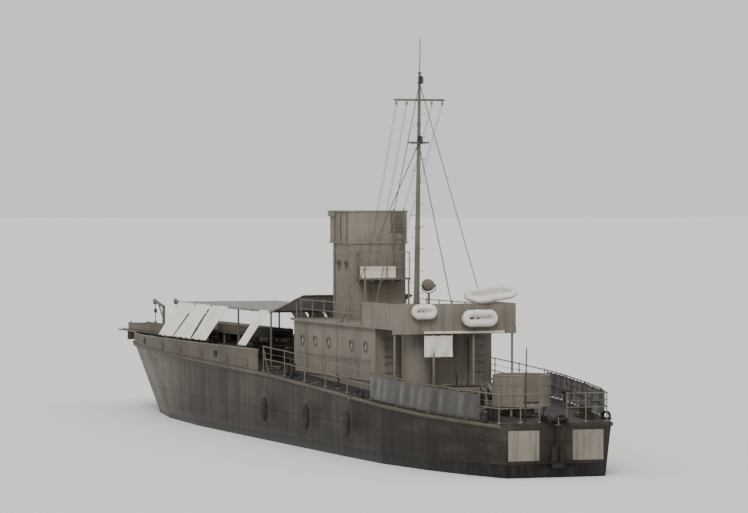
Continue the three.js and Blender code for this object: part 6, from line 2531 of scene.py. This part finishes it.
@dataclass
class Ramp:
    """Fittings on one bow ramp, which run out with it, and the tackle of the cathead beside it."""

    side: Side
    ends: Pair = (35.6, 46.6)
    middle: float = 1.72
    half: float = 0.475
    bottom: float = 3.52
    tread: float = 3.76
    bolts: Row = (36.1, 0.9, 12)
    sheave: Triple = (48.0, 0.5, 4.7)
    falls: Triple = (-0.03, 0.0, 0.03)
    fall: float = 1.0  # from the sheave down to the lower block
    hook: tuple[Pair, ...] = ((0, -1.05), (0, -1.16), (0.05, -1.2), (0.08, -1.13))

    def on(self, d: float, y: float, z: float) -> Vector:
        """A place on this side's ramp, from its middle line."""
        return at(d, self.side.value * (self.middle + y), z)

    def fittings(self) -> list[Thing]:
        """The edge bars, bolts, eyes and end bars of the ramp.

        Returns:
            The fittings.
        """
        made: list[Thing] = []
        aft, fore = self.ends
        for hand in (-1, 1):
            out = hand * self.half
            made.append(pipe([self.on(d, out, self.tread + 0.045) for d in self.ends], 0.02))
            bolts = [self.on(d, out, self.bottom + 0.12) for d in row(*self.bolts)]
            made += studs(bolts, shift(y=self.side.value * hand * 0.016), 0.022)
            for d in (aft + 0.15, fore - 0.15):
                made.append(ring(self.on(d, out * 0.8, self.tread + 0.06), ACROSS, 0.05, 0.014))
        z = self.bottom + 0.1
        for d in (aft + 0.02, fore - 0.02):
            made.append(rod(self.on(d, -self.half, z), self.on(d, self.half, z), 0.045))
        return made

    def tackle(self) -> list[Thing]:
        """The two blocks, the falls between them and the hook.

        Returns:
            The tackle's pieces.
        """
        d, y, z = self.sheave
        top = at(d, self.side.value * y, z)
        made = [ball(top - shift(z=0.42), 0.08, 1.5, 10), ball(top - shift(z=self.fall), 0.07, 1.5, 10)]
        made += studs([top + shift(ahead, 0, -0.1) for ahead in self.falls], shift(z=0.1 - self.fall), 0.009)
        made.append(pipe([top + shift(ahead, 0, up) for ahead, up in self.hook], 0.016))
        return made

    def build(self) -> None:
        """Builds the fittings and the tackle."""
        word = self.side.word
        finish_piece(self.fittings(), f"ramp_{word}_fittings", GEAR_PAINT, Slot.DECK, body=f"ramp_{word}")
        finish_piece(self.tackle(), f"cathead_{word}_tackle", TARRED)


def main() -> None:
    """Builds the craft's looks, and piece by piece."""
    logging.basicConfig(level=logging.INFO, format="%(message)s")
    studio = Studio()
    studio.camera()
    dress_nodes()
    studio.floor()
    studio.lights()
    for side in Side:
        GuardRails(side).build()
        WeatherCloth(side).build()
    Awning().build()
    for piece in (*FLOATS, *FENDERS):
        piece.build()
    Searchlight().build()
    HullDressing().build()
    Deckhouse().build()
    Tower().build()
    Mast().build()
    SignalPlatform().build()
    Tub("stern_tub", 3.2, 2.35).build()
    Tub("bow_tub", 43.2, 3.25).build()
    Winch().build()
    for word, d, y in (("aft", 8.2, 0.45), ("mid", 26.6, 0.0), ("fore", 32.2, 0.0)):
        Hatch(word, d, y).build()
    for side in Side:
        Ramp(side).build()


if __name__ == "__main__":
    main()
